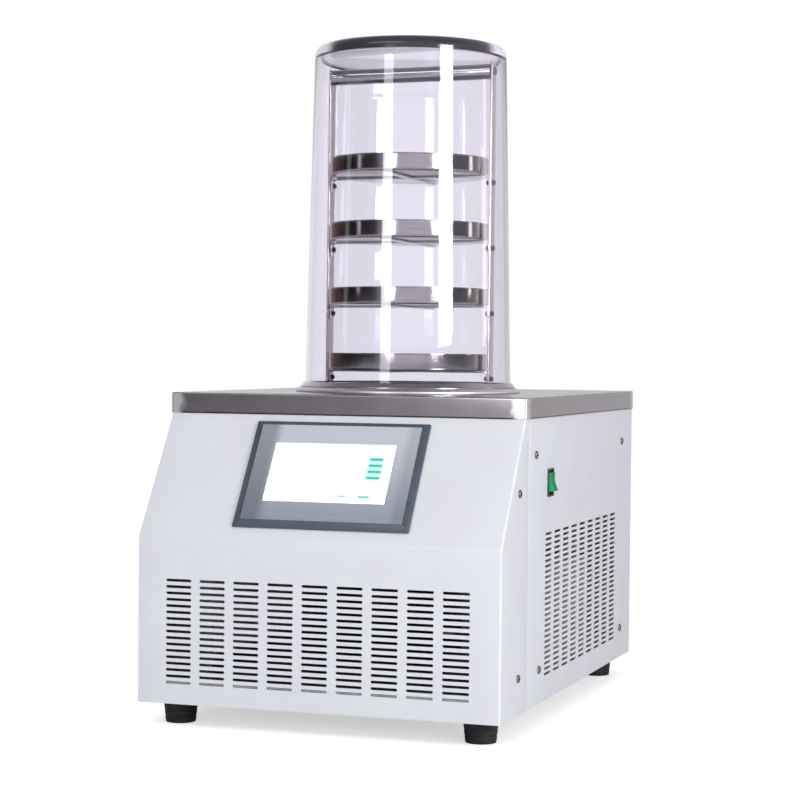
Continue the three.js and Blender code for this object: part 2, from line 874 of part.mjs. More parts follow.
// Vertical holes for the coil's two tails.
function tailHoles(from, to) {
  return [coilRadius, riserRadius].map((r) =>
    rod(coilTubeRadius + 2 * gap, from, to, smallSteps).translate(-r, 0, 0),
  );
}

function trapVessel() {
  const can = turned([
    [0, trapFloor - stainless],
    [trapOuter, trapFloor - stainless],
    [trapOuter, trapTop],
    [trapOuter + trapRimWidth, trapTop],
    [trapOuter + trapRimWidth, trapTop + sheet - gap],
    [trapOuter, trapTop + sheet - gap],
    [trapOuter, worktopZ],
    [trapRadius, worktopZ],
    [trapRadius, trapFloor],
    [0, trapFloor],
  ]);
  const [holeFrom, holeTo] = [trapFloor - 2 * stainless, trapFloor + stainless];
  const portHole = rod(portPipeRadius - portPipeWall, 0, 2 * trapRadius, mediumSteps, "y");
  const drainHole = rod(drainBore, holeFrom, holeTo);
  return cut(solidOf(can), [portHole.translate(0, 0, portZ), drainHole, ...tailHoles(holeFrom, holeTo)]);
}

const foamInner = trapOuter + gap;
const foamOuter = foamInner + insulationThickness;
const foamTop = trapTop - gap;

function trapInsulation() {
  const shell = turned([
    [0, insulationBase],
    [foamOuter, insulationBase],
    [foamOuter, foamTop],
    [foamInner, foamTop],
    [foamInner, trapFloor - stainless - gap],
    [0, trapFloor - stainless - gap],
  ]);
  const [holeFrom, holeTo] = [insulationBase - gap, trapFloor];
  const portHole = rod(portPipeRadius + gap, 0, 2 * foamOuter, mediumSteps, "y");
  const drainHole = rod(drainRadius + gap, holeFrom, holeTo);
  return cut(solidOf(shell), [portHole.translate(0, 0, portZ), drainHole, ...tailHoles(holeFrom, holeTo)]);
}

// Tube that climbs the coil and comes back down inside it, with both tails through the trap's floor.
function trapCoil() {
  const tailZ = [tailEnd, insulationBase, trapFloor, coilBase - coilTubeRadius];
  const points = tailZ.map((z) => [-coilRadius, 0, z]);
  for (let i = 1; i <= coilTurns * coilSteps; i += 1) {
    const angle = Math.PI + (2 * Math.PI * i) / coilSteps;
    const rise = coilBase + (coilPitch * i) / coilSteps;
    points.push([coilRadius * Math.cos(angle), coilRadius * Math.sin(angle), rise]);
  }
  const top = coilBase + coilPitch * coilTurns;
  points.push([-coilRadius + coilRiserInset / 3, -coilRiserInset, top + coilTubeRadius]);
  points.push([-riserRadius, -coilRiserInset / 2, top]);
  for (const z of [top - coilPitch, (top + trapFloor) / 2, trapFloor, insulationBase, tailEnd]) {
    points.push([-riserRadius, 0, z]);
  }
  return tubeThrough(points, coilTubeRadius, 1);
}

const pipeStart = trapOuter + gap;
const pipeEnd = rearY + portProud - chamberY;

function vacuumPipe() {
  const pipe = turned(
    [
      [portPipeRadius, pipeStart],
      [portPipeRadius, pipeEnd - portFlangeThickness],
      [portFlangeRadius, pipeEnd - portFlangeThickness / 2],
      [portFlangeRadius, pipeEnd],
      [portPipeRadius - portPipeWall, pipeEnd],
      [portPipeRadius - portPipeWall, pipeStart],
    ],
    mediumSteps,
  );
  // The pipe starts as a saddle round the trap's wall.
  const saddle = rod(pipeStart, portZ - 2 * portPipeRadius, portZ + 2 * portPipeRadius, roundSteps);
  const longer = pipe.rotateX(-Math.PI / 2).translate(0, 0, portZ);
  return cut(solidOf(longer), [saddle]);
}

add(chamber, "trap_vessel", trapVessel(), polishedSteel);
add(chamber, "trap_insulation", trapInsulation(), foam);
add(chamber, "trap_coil", trapCoil(), copper);
add(chamber, "vacuum_pipe", vacuumPipe(), polishedSteel);

// ---------------------------------------------------------------- seal and bell jar

const sealBase = worktopZ + gap;
const sealTop = sealBase + sealRingHeight;
const gasketBase = sealTop + gap;
const jarBase = gasketBase + gasketSeat + gap;
const gasketOuter = jarBaseRadius + gap;

function sealRing() {
  return turned([
    [trapRadius, sealBase],
    [sealRingRadius, sealBase],
    [sealRingRadius, sealBase + sealRingEdge],
    [gasketOuter + gasketFoot, sealTop],
    [trapRadius, sealTop],
  ]);
}

// Rubber ring with a seat under the jar's rim and a conical skirt outside it.
function sealGasket() {
  const inner = jarBaseRadius - jarWall - gasketInset;
  return turned([
    [inner, gasketBase],
    [gasketOuter + gasketFoot, gasketBase],
    [gasketOuter + gasketLip, gasketBase + gasketHeight],
    [gasketOuter, gasketBase + gasketHeight],
    [gasketOuter, gasketBase + gasketSeat],
    [inner, gasketBase + gasketSeat],
  ]);
}

function bellJar() {
  const top = jarBase + jarHeight;
  const outer = [];
  for (let i = 0; i <= jarCornerSteps; i += 1) {
    const angle = (Math.PI / 2) * (i / jarCornerSteps);
    outer.push([
      jarTopRadius - jarCorner * (1 - Math.cos(angle)),
      top - jarCorner * (1 - Math.sin(angle)),
    ]);
  }
  return turned([
    [jarBaseRadius, jarBase],
    ...outer,
    [0, top],
    [0, top - jarCrown],
    [jarTopRadius - jarWall - jarInnerCorner, top - jarCrown],
    [jarTopRadius - jarWall, top - jarCrown - jarInnerCorner],
    [jarBaseRadius - jarWall, jarBase],
  ]);
}

add(chamber, "seal_ring", sealRing(), polishedSteel);
add(chamber, "seal_gasket", sealGasket(), sealRubber);
add(chamber, "bell_jar", bellJar(), clearAcrylic);

// ---------------------------------------------------------------- tray rack

const rackBase = sealTop + gap;
const rackTop = rackBase + rackHeight;

// Height of a tray's underside.
function trayZ(i) {
  return worktopZ + trayFirst + i * trayPitch;
}

function rackPost(side) {
  const [inner, outer] = [postInner, postInner + postThickness];
  const strip = block(inner, outer, -postWidth / 2, postWidth / 2, rackBase, rackTop);
  const holes = Array.from({ length: trayCount }, (_, i) => {
    const hole = rod(boltRadius + boltClearance, inner - gap, outer + gap, smallSteps, "x");
    return hole.translate(0, 0, trayZ(i) - gap - boltAxis);
  });
  const post = cut(solidOf(strip), holes);
  return side > 0 ? post : post.mirror([1, 0, 0]);
}

function rackHandle() {
  const reach = postInner - gap;
  return rod(handleRadius, -reach, reach, mediumSteps, "x").translate(0, 0, rackTop - handleRadius);
}

// Flat cross under a tray. Its left and right arms turn down at the posts, where bolts hold them.
function trayCross() {
  const reach = postInner - gap;
  const half = supportWidth / 2;
  const armX = block(-reach, reach, -half, half, -supportThickness, 0);
  const front = trayRadius - supportInset;
  const armY = block(-half, half, -front, front, -supportThickness, 0);
  const depth = supportThickness + supportTab;
  const tabs = [-1, 1].map((side) => {
    const [a, b] = [side * reach, side * (reach - supportThickness)];
    return block(Math.min(a, b), Math.max(a, b), -half, half, -depth, 0);
  });
  const bolts = [-1, 1].flatMap((side) => {
    const face = reach - supportThickness;
    const nut = rod(nutRadius, face - nutHeight, face + gap, hexSides, "x");
    const shank = rod(boltRadius, face, postInner + postThickness + nutHeight, smallSteps, "x");
    return [nut, shank].map((piece) => {
      const turn = side > 0 ? piece : piece.rotateZ(Math.PI);
      return turn.translate(0, 0, -boltAxis);
    });
  });
  return joined(armX, armY, ...tabs, ...bolts);
}

function tray() {
  const inside = trayRadius - stainless;
  const innerCorner = trayCorner - stainless * (2 - Math.SQRT2);
  return turned(
    [
      [0, 0],
      [trayRadius - trayCorner, 0],
      [trayRadius, trayCorner],
      [trayRadius, trayHeight],
      [inside, trayHeight],
      [inside, stainless + innerCorner],
      [inside - innerCorner, stainless],
      [0, stainless],
    ],
    roundSteps,
  );
}

add(chamber, "rack_post_right", rackPost(1), polishedSteel);
add(chamber, "rack_post_left", rackPost(-1), polishedSteel);
add(chamber, "rack_handle", rackHandle(), polishedSteel);
for (let i = 0; i < trayCount; i += 1) {
  add(chamber, `tray_support_${i + 1}`, trayCross(), polishedSteel, [0, 0, trayZ(i) - gap]);
  add(chamber, `tray_${i + 1}`, tray(), polishedSteel, [0, 0, trayZ(i)]);
}

// ---------------------------------------------------------------- drain

const valveFront = rearY + valveStub;
const valveRear = valveFront + valveLength;

function drainPipe() {
  const top = trapFloor - stainless - gap;
  const end = valveFront - gap - chamberY;
  const bend = drainBend;
  const corner = bend * (1 - Math.SQRT1_2);
  const route = [
    [0, 0, top],
    [0, 0, insulationBase - gap],
    [0, 0, drainZ + bend],
    [0, corner, drainZ + corner],
    [0, bend, drainZ],
    [0, 2 * bend, drainZ],
    [0, end - bend, drainZ],
    [0, end, drainZ],
  ];
  return tubeThrough(route, drainRadius, 1, smallSteps, drainBore);
}

// Ball valve without its ball: the bore runs straight through it, under the stem.
function valveBody() {
  const middle = (valveFront + valveRear) / 2;
  const end = valveRear + valveStub;
  const body = rod(valveRadius, valveFront, valveRear, hexSides, "y");
  const spout = rod(drainRadius, valveRear - gap, end, smallSteps, "y");
  const stem = rod(stemRadius, drainBore, valveRadius + stemHeight);
  stem.translate(0, middle, 0);
  return cut(joined(body, spout, stem), [rod(drainBore, valveFront - gap, end + gap, smallSteps, "y")]);
}

function valveLever() {
  const half = leverWidth / 2;
  const base = valveRadius + stemHeight + gap;
  const hub = rod(leverHubRadius, base, base + leverThickness, smallSteps);
  const arm = block(0, leverLength, -half, half, base, base + leverThickness);
  return joined(hub, arm);
}

add(chamber, "drain_pipe", drainPipe(), polishedSteel);
const drainValve = new THREE.Group();
drainValve.position.set(0, 0, drainZ);
dryer.add(drainValve);
add(drainValve, "drain_valve", valveBody(), polishedSteel);
add(drainValve, "drain_lever", valveLever(), rockerGreen, [0, (valveFront + valveRear) / 2, 0]);

// ---------------------------------------------------------------- refrigeration

const compressorX = -halfWidth + compressorFromSide;
const compressorY = rearY - compressorFromRear;

function compressor() {
  const pot = turned(
    [
      [0, 0],
      [compressorBase, 0],
      [compressorShoulder, compressorDomeBase],
      [compressorRadius, compressorHeight / 2],
      [compressorShoulder, compressorHeight - compressorDomeTop],
      [compressorCrown, compressorHeight],
      [0, compressorHeight],
    ],
    mediumSteps,
  );
  const [halfX, halfY, halfZ] = [compressorPlateX / 2, compressorPlateY / 2, compressorFoot / 2];
  const plate = block(-halfX, halfX, -halfY, halfY, -halfZ, halfZ);
  const legs = [-1, 1].flatMap((x) =>
    [-1, 1].map((y) => {
      const leg = rod(compressorLegRadius, -compressorFoot, 0);
      return leg.translate(x * compressorLegX, y * compressorLegY, 0);
    }),
  );
  return joined(pot, plate, ...legs);
}

const condenserOuter = halfWidth - condenserFromSide;
const condenserInner = condenserOuter - condenserThickness;
const condenserY = frontY + sideSlotCentre;
const condenserTop = floorZ + condenserHeight;

// Finned block: upright fins on a core, with two end plates that stand on the base pan.
function condenser() {
  const half = condenserLength / 2;
  const core = block(
    condenserInner + condenserCoreInset,
    condenserOuter - condenserCoreInset,
    condenserY - half,
    condenserY + half,
    floorZ + condenserCoreLift,
    condenserTop - finCap,
  );
  const pitch = (condenserLength - finThickness) / (condenserFins - 1);
  const fins = Array.from({ length: condenserFins }, (_, i) => {
    const y = condenserY - half + i * pitch;
    const outermost = i === 0 || i === condenserFins - 1;
    const base = outermost ? floorZ : floorZ + finLift;
    return block(condenserInner, condenserOuter, y, y + finThickness, base, condenserTop);
  });
  return joined(core, ...fins);
}

const shroudRear = condenserInner - gap;
const shroudFront = shroudRear - shroudThickness;
const fanZ = floorZ + shroudWidth / 2;
const fanMiddle = (shroudRear + shroudFront) / 2;

function fanShroud() {
  const half = shroudWidth / 2;
  const [y0, y1] = [condenserY - half, condenserY + half];
  const frame = block(shroudFront, shroudRear, y0, y1, floorZ, floorZ + shroudWidth);
  const duct = rod(fanRadius + fanTipClearance, shroudFront - sheet, shroudRear + sheet, mediumSteps, "x");
  const ring = cut(solidOf(frame), [duct.translate(0, condenserY, fanZ)]);
  const arm = block(
    shroudFront - sheet,
    shroudFront + sheet,
    y0,
    y1,
    fanZ - motorArm / 2,
    fanZ + motorArm / 2,
  );
  const [seatFrom, seatTo] = [shroudFront - 2 * sheet, shroudFront + 2 * sheet];
  const seat = rod(motorShaftRadius + 2 * gap, seatFrom, seatTo, smallSteps, "x");
  return cut(ring.add(solidOf(arm)), [seat.translate(0, condenserY, fanZ)]);
}

// Hub and pitched blades about X.
function fanRotor() {
  const hub = rod(fanHubRadius, -fanHubLength / 2, fanHubLength / 2, mediumSteps, "x");
  const pitch = THREE.MathUtils.degToRad(fanBladePitch);
  const tip = Math.sqrt(fanRadius ** 2 - (fanBladeChord / 2) ** 2);
  const blades = Array.from({ length: fanBlades }, (_, i) => {
    const blade = block(
      -fanBladeThickness / 2,
      fanBladeThickness / 2,
      -fanBladeChord / 2,
      fanBladeChord / 2,
      fanHubRadius - fanRootDepth,
      tip,
    );
    return blade.rotateZ(pitch).rotateX((2 * Math.PI * i) / fanBlades);
  });
  return joined(hub, ...blades);
}

function fanMotor() {
  const face = shroudFront - sheet - gap;
  const can = rod(motorRadius, face - motorLength, face, mediumSteps, "x");
  const shaft = rod(motorShaftRadius, face - gap, fanMiddle - fanHubLength / 2 - gap, smallSteps, "x");
  return joined(can, shaft);
}

add(dryer, "compressor", compressor(), blackEnamel, [compressorX, compressorY, floorZ + compressorFoot]);
add(dryer, "condenser", condenser(), finAluminium);
add(dryer, "fan_shroud", fanShroud(), blackEnamel);
add(dryer, "fan_rotor", fanRotor(), fanPlastic, [fanMiddle, condenserY, fanZ]);
add(dryer, "fan_motor", fanMotor(), blackEnamel, [0, condenserY, fanZ]);

// Refrigerant lines, each from port to port.
const compressorTop = floorZ + compressorFoot + compressorHeight;
const suctionX = -coilRadius;
const liquidX = -riserRadius;
const condenserFront = condenserY - condenserLength / 2;
const drierY = condenserFront - drierLength;
const drierZ = floorZ + condenserHeight / 2;
const drierX = (condenserInner + condenserOuter) / 2;

function suctionLine() {
  const portX = compressorX + portSpacing / 2;
  const crossZ = tailEnd - 2 * lineBend;
  return tubeThrough(
    [
      [suctionX, chamberY, tailEnd - gap],
      [suctionX, chamberY, tailEnd - lineBend],
      [suctionX, chamberY + lineBend, crossZ],
      [(suctionX + portX) / 2, (chamberY + compressorY) / 2, crossZ],
      [portX, compressorY - lineBend, compressorTop + 2 * lineBend],
      [portX, compressorY, compressorTop + lineBend],
      [portX, compressorY, compressorTop + gap],
    ],
    lineRadius,
    lineSteps,
  );
}

// Over the compressor's shoulder, then across under the drain pipe.
function dischargeLine() {
  const [portX, overZ] = [compressorX - portSpacing / 2, compressorTop + lineBend];
  const crossZ = drainZ - drainRadius - lineRadius - lineClearance;
  const lineY = condenserY + condenserLength / 2 + gap;
  const crossY = Math.max(lineY, compressorY) + 2 * lineBend;
  const sideX = compressorX + compressorRadius;
  return tubeThrough(
    [
      [portX, compressorY, compressorTop + gap],
      [portX, compressorY, compressorTop + lineBend / 2],
      [portX + lineRadius, compressorY + lineRadius, overZ],
      [portX + 2 * lineBend, crossY, overZ],
      [sideX, crossY, overZ],
      [sideX + 1.5 * lineBend, crossY, crossZ],
      [drierX - 3 * lineBend, crossY, crossZ],
      [drierX, crossY, drierZ + 2 * lineBend],
      [drierX, lineY + lineBend, drierZ],
      [drierX, lineY, drierZ],
    ],
    lineRadius,
    lineSteps,
  );
}

// Drier can in line with the condenser's outlet, tapered at both ends.
function filterDrier() {
  const can = turned(
    [
      [0, 0],
      [lineRadius, 0],
      [lineRadius, drierStub],
      [drierRadius, drierStub + drierTaper],
      [drierRadius, drierLength - drierStub - drierTaper],
      [lineRadius, drierLength - drierStub],
      [lineRadius, drierLength - gap],
      [0, drierLength - gap],
    ],
    smallSteps,
  );
  return can.rotateX(-Math.PI / 2);
}

function liquidLine() {
  const crossY = drierY - 2 * lineBend;
  const riseZ = tailEnd - 2 * lineBend;
  return tubeThrough(
    [
      [drierX, drierY - gap, drierZ],
      [drierX, drierY - lineBend, drierZ],
      [drierX - lineBend, crossY, drierZ],
      [drierX / 2, crossY, drierZ + lineBend],
      [0, (crossY + chamberY) / 2, riseZ - lineBend],
      [liquidX + lineBend, chamberY - lineBend, riseZ],
      [liquidX, chamberY, riseZ + lineBend],
      [liquidX, chamberY, tailEnd - gap],
    ],
    liquidLineRadius,
    lineSteps,
  );
}

add(dryer, "suction_line", suctionLine(), copper);
add(dryer, "discharge_line", dischargeLine(), copper);
add(dryer, "filter_drier", filterDrier(), copper, [drierX, drierY, drierZ]);
add(dryer, "liquid_line", liquidLine(), copper);

// ---------------------------------------------------------------- electrics

function controlBox() {
  const [rear, right] = [rearY - controlFromRear, condenserInner - controlClearance];
  return block(right - controlWidth, right, rear - controlDepth, rear, floorZ, floorZ + controlHeight);
}

// Appliance inlet: a flange outside the rear panel, a body inside it and a well for the plug.
function mainsInlet() {
  const face = rearY + gap;
  const flange = block(
    inletX - inletWidth / 2,
    inletX + inletWidth / 2,
    face,
    face + inletProud,
    inletZ - inletHeight / 2,
    inletZ + inletHeight / 2,
  );
  const body = block(
    inletX - inletCutX,
    inletX + inletCutX,
    face - inletDepth,
    face + inletProud / 2,
    inletZ - inletCutZ,
    inletZ + inletCutZ,
  );
  const well = block(
    inletX - inletWellWidth / 2,
    inletX + inletWellWidth / 2,
    face + inletProud - inletWellDepth,
    face + 2 * inletProud,
    inletZ - inletWellHeight / 2,
    inletZ + inletWellHeight / 2,
  );
  return cut(joined(flange, body), [well]);
}

add(dryer, "control_box", controlBox(), zincSteel);
add(dryer, "mains_inlet", mainsInlet(), switchPlastic);

// ---------------------------------------------------------------- origin

// The finished model moves so that the middle of its overall box stands over the origin.
const overall = new THREE.Box3().setFromObject(dryer);
const middle = overall.getCenter(new THREE.Vector3());
dryer.position.set(-middle.x, -middle.y, -overall.min.z);

export default dryer;
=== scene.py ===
# %% [markdown]
# # A benchtop freeze dryer
# The machine is a powder-coated sheet-metal cabinet with a brushed stainless worktop. A cold trap is sunk
# into the worktop, and a clear acrylic bell jar stands over it on a steel ring, with four trays inside.
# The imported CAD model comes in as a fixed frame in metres: +X is the machine's right, +Y its back, +Z up.
# Each new piece is worked out in millimetres, takes its place from a CAD node's box and stands for it.

# %% Load the frame
import math
from itertools import accumulate

import bmesh
import bpy
import numpy as np
from mathutils import Matrix, Vector


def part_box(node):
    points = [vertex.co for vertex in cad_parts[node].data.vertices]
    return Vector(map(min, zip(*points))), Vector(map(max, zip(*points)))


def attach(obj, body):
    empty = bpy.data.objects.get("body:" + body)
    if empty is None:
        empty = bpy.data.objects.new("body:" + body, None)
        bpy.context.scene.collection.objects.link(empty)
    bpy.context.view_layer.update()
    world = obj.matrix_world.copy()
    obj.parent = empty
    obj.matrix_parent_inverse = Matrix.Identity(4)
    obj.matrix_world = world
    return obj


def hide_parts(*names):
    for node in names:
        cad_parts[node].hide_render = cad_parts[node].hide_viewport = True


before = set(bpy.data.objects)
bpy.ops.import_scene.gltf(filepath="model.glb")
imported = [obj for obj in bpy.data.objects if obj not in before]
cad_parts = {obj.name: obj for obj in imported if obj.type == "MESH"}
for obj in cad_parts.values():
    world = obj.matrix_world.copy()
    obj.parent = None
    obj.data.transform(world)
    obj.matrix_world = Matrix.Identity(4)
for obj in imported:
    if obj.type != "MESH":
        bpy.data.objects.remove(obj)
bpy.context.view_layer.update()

MM = 0.001  # metres


class Box:
    """A CAD node's box in millimetres: its lowest and highest corners, its middle and its half sizes."""

    def __init__(self, node):
        self.low, self.high = (np.array(corner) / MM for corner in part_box(node))
        self.middle, self.half = (self.low + self.high) / 2, (self.high - self.low) / 2


# %% [markdown]
# ## Small tools for shapes
# A shape is a pair: an array of points, and a list of arrays of face corners. Every shape here is a grid
# of points in some form, such as a turned profile or a ring carried along a path, so one rule makes the
# faces for all of them. The other way would be to model with operators, but whole arrays are quicker
# and say in one line what the form is.

# %% Grids and joins
ALONG_X = ((0, 1, 0), (0, 0, 1), (1, 0, 0))  # a shape's own z points right
ALONG_LEFT = ((0, -1, 0), (0, 0, 1), (-1, 0, 0))  # its z points left
ALONG_Y = ((0, 0, 1), (1, 0, 0), (0, 1, 0))  # its z points to the back
FROM_BEHIND = ((-1, 0, 0), (0, 0, 1), (0, 1, 0))  # the same, with its y up


def grid_faces(rows, columns, closed_rows=False, closed_columns=False):
    """Quads of points numbered row by row: (i, j), (i, j+1), (i+1, j+1), (i+1, j). A closed way wraps."""
    i = np.arange(rows if closed_rows else rows - 1)[:, None]
    j = np.arange(columns if closed_columns else columns - 1)[None, :]
    after, beside = (i + 1) % rows * columns, (j + 1) % columns
    corners = (i * columns + j, i * columns + beside, after + beside, after + j)
    return np.stack(np.broadcast_arrays(*corners), -1).reshape(-1, 4)


def joined(*shapes):
    """Several shapes as one: each one's face numbers go up by the number of points before it."""
    shifts = [0, *accumulate(len(points) for points, _ in shapes)]
    faces = [f + shift for (_, arrays), shift in zip(shapes, shifts) for f in arrays]
    return np.concatenate([points for points, _ in shapes]), faces


def placed(shape, origin=(0, 0, 0), axes=np.eye(3)):
    """A shape moved to a place: each point is the origin plus x, y and z times the three axes."""
    return shape[0] @ np.array(axes, float) + np.array(origin, float), shape[1]


print("a 3 x 4 grid has", len(grid_faces(3, 4)), "quads")

# %% Outlines
SQUARE = np.array([[1, -1], [1, 1], [-1, 1], [-1, -1]], float)


def eased(corners, radius, steps=4, closed=False):
    """Rounds a chain of points: A is a radius before corner P and B a radius after it, and the curve is
    (1-s)(1-s) A + 2 s (1-s) P + s s B for s from 0 to 1."""
    corners = np.asarray(corners, float)
    radius = np.broadcast_to(radius, len(corners))[:, None]

    def towards(other):
        step = other - corners
        length = np.maximum(np.linalg.norm(step, axis=1, keepdims=True), 1e-9)
        return corners + step / length * np.minimum(radius, 0.49 * length)

    a, b = towards(np.roll(corners, 1, 0)), towards(np.roll(corners, -1, 0))
    s = np.linspace(0, 1, steps + 1)[None, :, None]
    curve = (1 - s) ** 2 * a[:, None] + 2 * s * (1 - s) * corners[:, None] + s**2 * b[:, None]
    if not closed:
        curve[[0, -1]] = corners[[0, -1]][:, None]
    return curve.reshape(-1, corners.shape[1])


def rounded_outline(half_x, half_y, radius, steps=4, per_side=1):
    """A rounded rectangle, anticlockwise: four eased corners, with evenly spaced points between them."""
    arcs = eased(SQUARE * (half_x, half_y), radius, steps, True).reshape(4, steps + 1, 2)
    s = np.arange(1, per_side)[None, :, None] / per_side
    sides = arcs[:, -1:] * (1 - s) + np.roll(arcs[:, :1], -1, 0) * s
    return np.concatenate([arcs, sides], 1).reshape(-1, 2)


def circle(radius, steps):
    """Points at radius (cos t, sin t), for t once round the circle."""
    t = np.linspace(0, 2 * np.pi, steps, endpoint=False)
    return radius * np.column_stack([np.cos(t), np.sin(t)])


def inset(outline, distance):
    """A closed anticlockwise outline moved inwards, square to the line through each point's neighbours."""
    along = np.roll(outline, -1, 0) - np.roll(outline, 1, 0)
    across = np.column_stack([-along[:, 1], along[:, 0]])
    return outline + distance * across / np.linalg.norm(across, axis=1, keepdims=True)


print("a rounded rectangle has", len(rounded_outline(10, 5, 1)), "points")

# %% Bodies from outlines
def lofted(rings, caps=(True, True), closed=False):
    """Rings of equally many points, joined one to the next. Caps close the first and the last."""
    rings = np.asarray(rings, float)
    count, around = rings.shape[:2]
    faces = [grid_faces(count, around, closed, True)]
    if caps[0] and not closed:
        faces.append(np.arange(around)[::-1][None])
    if caps[1] and not closed:
        faces.append((count - 1) * around + np.arange(around)[None])
    return rings.reshape(-1, 3), faces


def at_heights(outlines, heights):
    """Flat outlines as rings, each at its own height."""
    return [np.column_stack([o, np.full(len(o), float(z))]) for o, z in zip(outlines, heights)]


def stacked(levels, steps=4, shift=(0, 0)):
    """Rings that are rounded rectangles, from (half width, half depth, corner radius, height)."""
    outlines = [rounded_outline(a, b, r, steps) + np.array(shift) for a, b, r, _ in levels]
    return at_heights(outlines, [level[3] for level in levels])


def extruded(outline, low, high, edge=0.4):
    """An outline carried from one height to another, with both of its edges chamfered."""
    ring = np.asarray(outline, float)
    turn = np.roll(ring, -1, 0)
    if np.sum(ring[:, 0] * turn[:, 1] - turn[:, 0] * ring[:, 1]) < 0:
        ring = ring[::-1]
    small = inset(ring, edge)
    return lofted(at_heights([small, ring, ring, small], [low, low + edge, high - edge, high]))


def turned(profile, steps=96):
    """A profile of (radius, height) turned about Z: x = r cos t, y = r sin t. It goes up the outside."""
    profile = np.asarray(profile, float)
    t = np.linspace(0, 2 * np.pi, steps, endpoint=False)[None, :]
    r, z = profile[:, :1], profile[:, 1:]
    points = np.stack(np.broadcast_arrays(r * np.cos(t), r * np.sin(t), z), -1)
    return points.reshape(-1, 3), [grid_faces(len(profile), steps, False, True)]


def lengths_along(path):
    """How far along a path each point lies, and the path, both without points that repeat."""
    path = np.asarray(path, float)
    path = path[np.r_[True, np.linalg.norm(np.diff(path, axis=0), axis=1) > 1e-6]]
    return np.r_[0, np.cumsum(np.linalg.norm(np.diff(path, axis=0), axis=1))], path


def unit_tangent(path):
    """The direction of a path at each point, from the points beside it."""
    tangent = np.gradient(path, axis=0)
    return tangent / np.linalg.norm(tangent, axis=1, keepdims=True)


def swept(path, section, side=None):
    """A flat section carried along a path. Each ring stands square to the path. Its first axis is the
    side given, or else the axis of the ring before it with what lies along the path taken off."""
    path = lengths_along(path)[1]
    tangent = unit_tangent(path)

    def carried(axis, way):
        squared = axis - way * (axis @ way)
        return squared / np.linalg.norm(squared)

    first = np.eye(3)[np.argmin(np.abs(tangent[0]))] if side is None else np.array(side, float)
    across = np.array(list(accumulate(tangent, carried, initial=first)))[1:]
    up = np.cross(tangent, across)
    flat, tall = section[None, :, :1], section[None, :, 1:]
    return lofted(path[:, None] + flat * across[:, None] + tall * up[:, None])


print("a turned ring of 3 points has", len(turned([(1, 0), (2, 1), (1, 2)])[0]), "points")

# %% [markdown]
# ## From a shape to a piece
# A piece's object stays at the origin with its place in its mesh, like the CAD nodes. Points that
# coincide are merged, so poles and seams close. Shading is smooth, with a sharp line only where two faces
# meet at more than a set angle. Sheet metal starts as a surface without thickness: Solidify gives it one
# and Bevel breaks the cut edges, because it is the bright line along an edge that makes metal look cut.

# %% Meshes and pieces
made = {}


def merged(source, target, distance, flat=False):
    """Copies a mesh with its points merged within that many millimetres, and its flat faces whole."""
    work = bmesh.new()
    work.from_mesh(source)
    bmesh.ops.remove_doubles(work, verts=work.verts, dist=distance * MM)
    if flat:
        bmesh.ops.dissolve_limit(work, angle_limit=0.02, verts=work.verts, edges=work.edges)
    work.to_mesh(target)
    work.free()
    return target


def mesh_of(name, shape, uv=None):
    """A Blender mesh in metres from a shape in millimetres, with its sheet coordinates if it has any."""
    points, faces = shape
    mesh = bpy.data.meshes.new(name)
    mesh.from_pydata((points * MM).tolist(), [], [f for array in faces for f in array.tolist()])
    if uv is not None:
        corners = np.empty(len(mesh.loops), np.int32)
        mesh.loops.foreach_get("vertex_index", corners)
        mesh.uv_layers.new(name="sheet").uv.foreach_set("vector", (uv * MM)[corners].ravel())
    return merged(mesh, mesh, 0.002)


def new_object(name, data):
    """An object at the origin, in the scene, that shows a mesh or holds a lamp or a camera."""
    obj = bpy.data.objects.new(name, data)
    bpy.context.scene.collection.objects.link(obj)
    return obj


def walled(obj, thickness=0, bevel=0.0, cutout=None):
    """Gives a piece its wall, its cut-outs and broken edges, and puts the result into its mesh."""
    if thickness:
        wall = obj.modifiers.new("wall", "SOLIDIFY")
        wall.thickness, wall.offset, wall.use_even_offset = thickness * MM, -1, True
    if cutout:
        cutter = new_object("cutter", mesh_of("cutter", cutout))
        hole = obj.modifiers.new("cutout", "BOOLEAN")
        hole.object, hole.solver = cutter, "EXACT"
    if bevel:
        edge = obj.modifiers.new("edge", "BEVEL")
        edge.width, edge.segments, edge.limit_method = bevel * MM, 1, "ANGLE"
        edge.angle_limit, edge.use_clamp_overlap = math.radians(38), True
    evaluated = obj.evaluated_get(bpy.context.evaluated_depsgraph_get())
    obj.data = bpy.data.meshes.new_from_object(evaluated)
    obj.modifiers.clear()
    if cutout:
        bpy.data.objects.remove(cutter)


def piece(name, shape, finish, instead_of=(), body="cabinet", uv=None, sharp=32, **wall):
    """A piece from a shape in millimetres or a mesh, with its finish, its body and the nodes it replaces."""
    mesh = shape if isinstance(shape, bpy.types.Mesh) else mesh_of(name, shape, uv)
    material, slot_name = finish
    mesh.materials.append(material)
    mesh.polygons.foreach_set("use_smooth", np.ones(len(mesh.polygons), bool))
    mesh.set_sharp_from_angle(angle=math.radians(sharp))
    obj = new_object(name, mesh)
    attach(obj, body)
    if wall:
        walled(obj, **wall)
        obj.data.set_sharp_from_angle(angle=math.radians(sharp))
    if instead_of:
        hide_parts(*instead_of)
    made[name] = len(obj.data.polygons)
    print(f"{name}: {made[name]} faces")
    return obj


def refined(node, finish, bevel):
    """A CAD node's own form with merged points, broken edges and smooth shading, in place of the node."""
    mesh = merged(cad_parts[node].data, bpy.data.meshes.new(node + "_form"), 0.01, flat=True)
    piece(node + "_form", mesh, finish, [node], sharp=35, bevel=bevel)


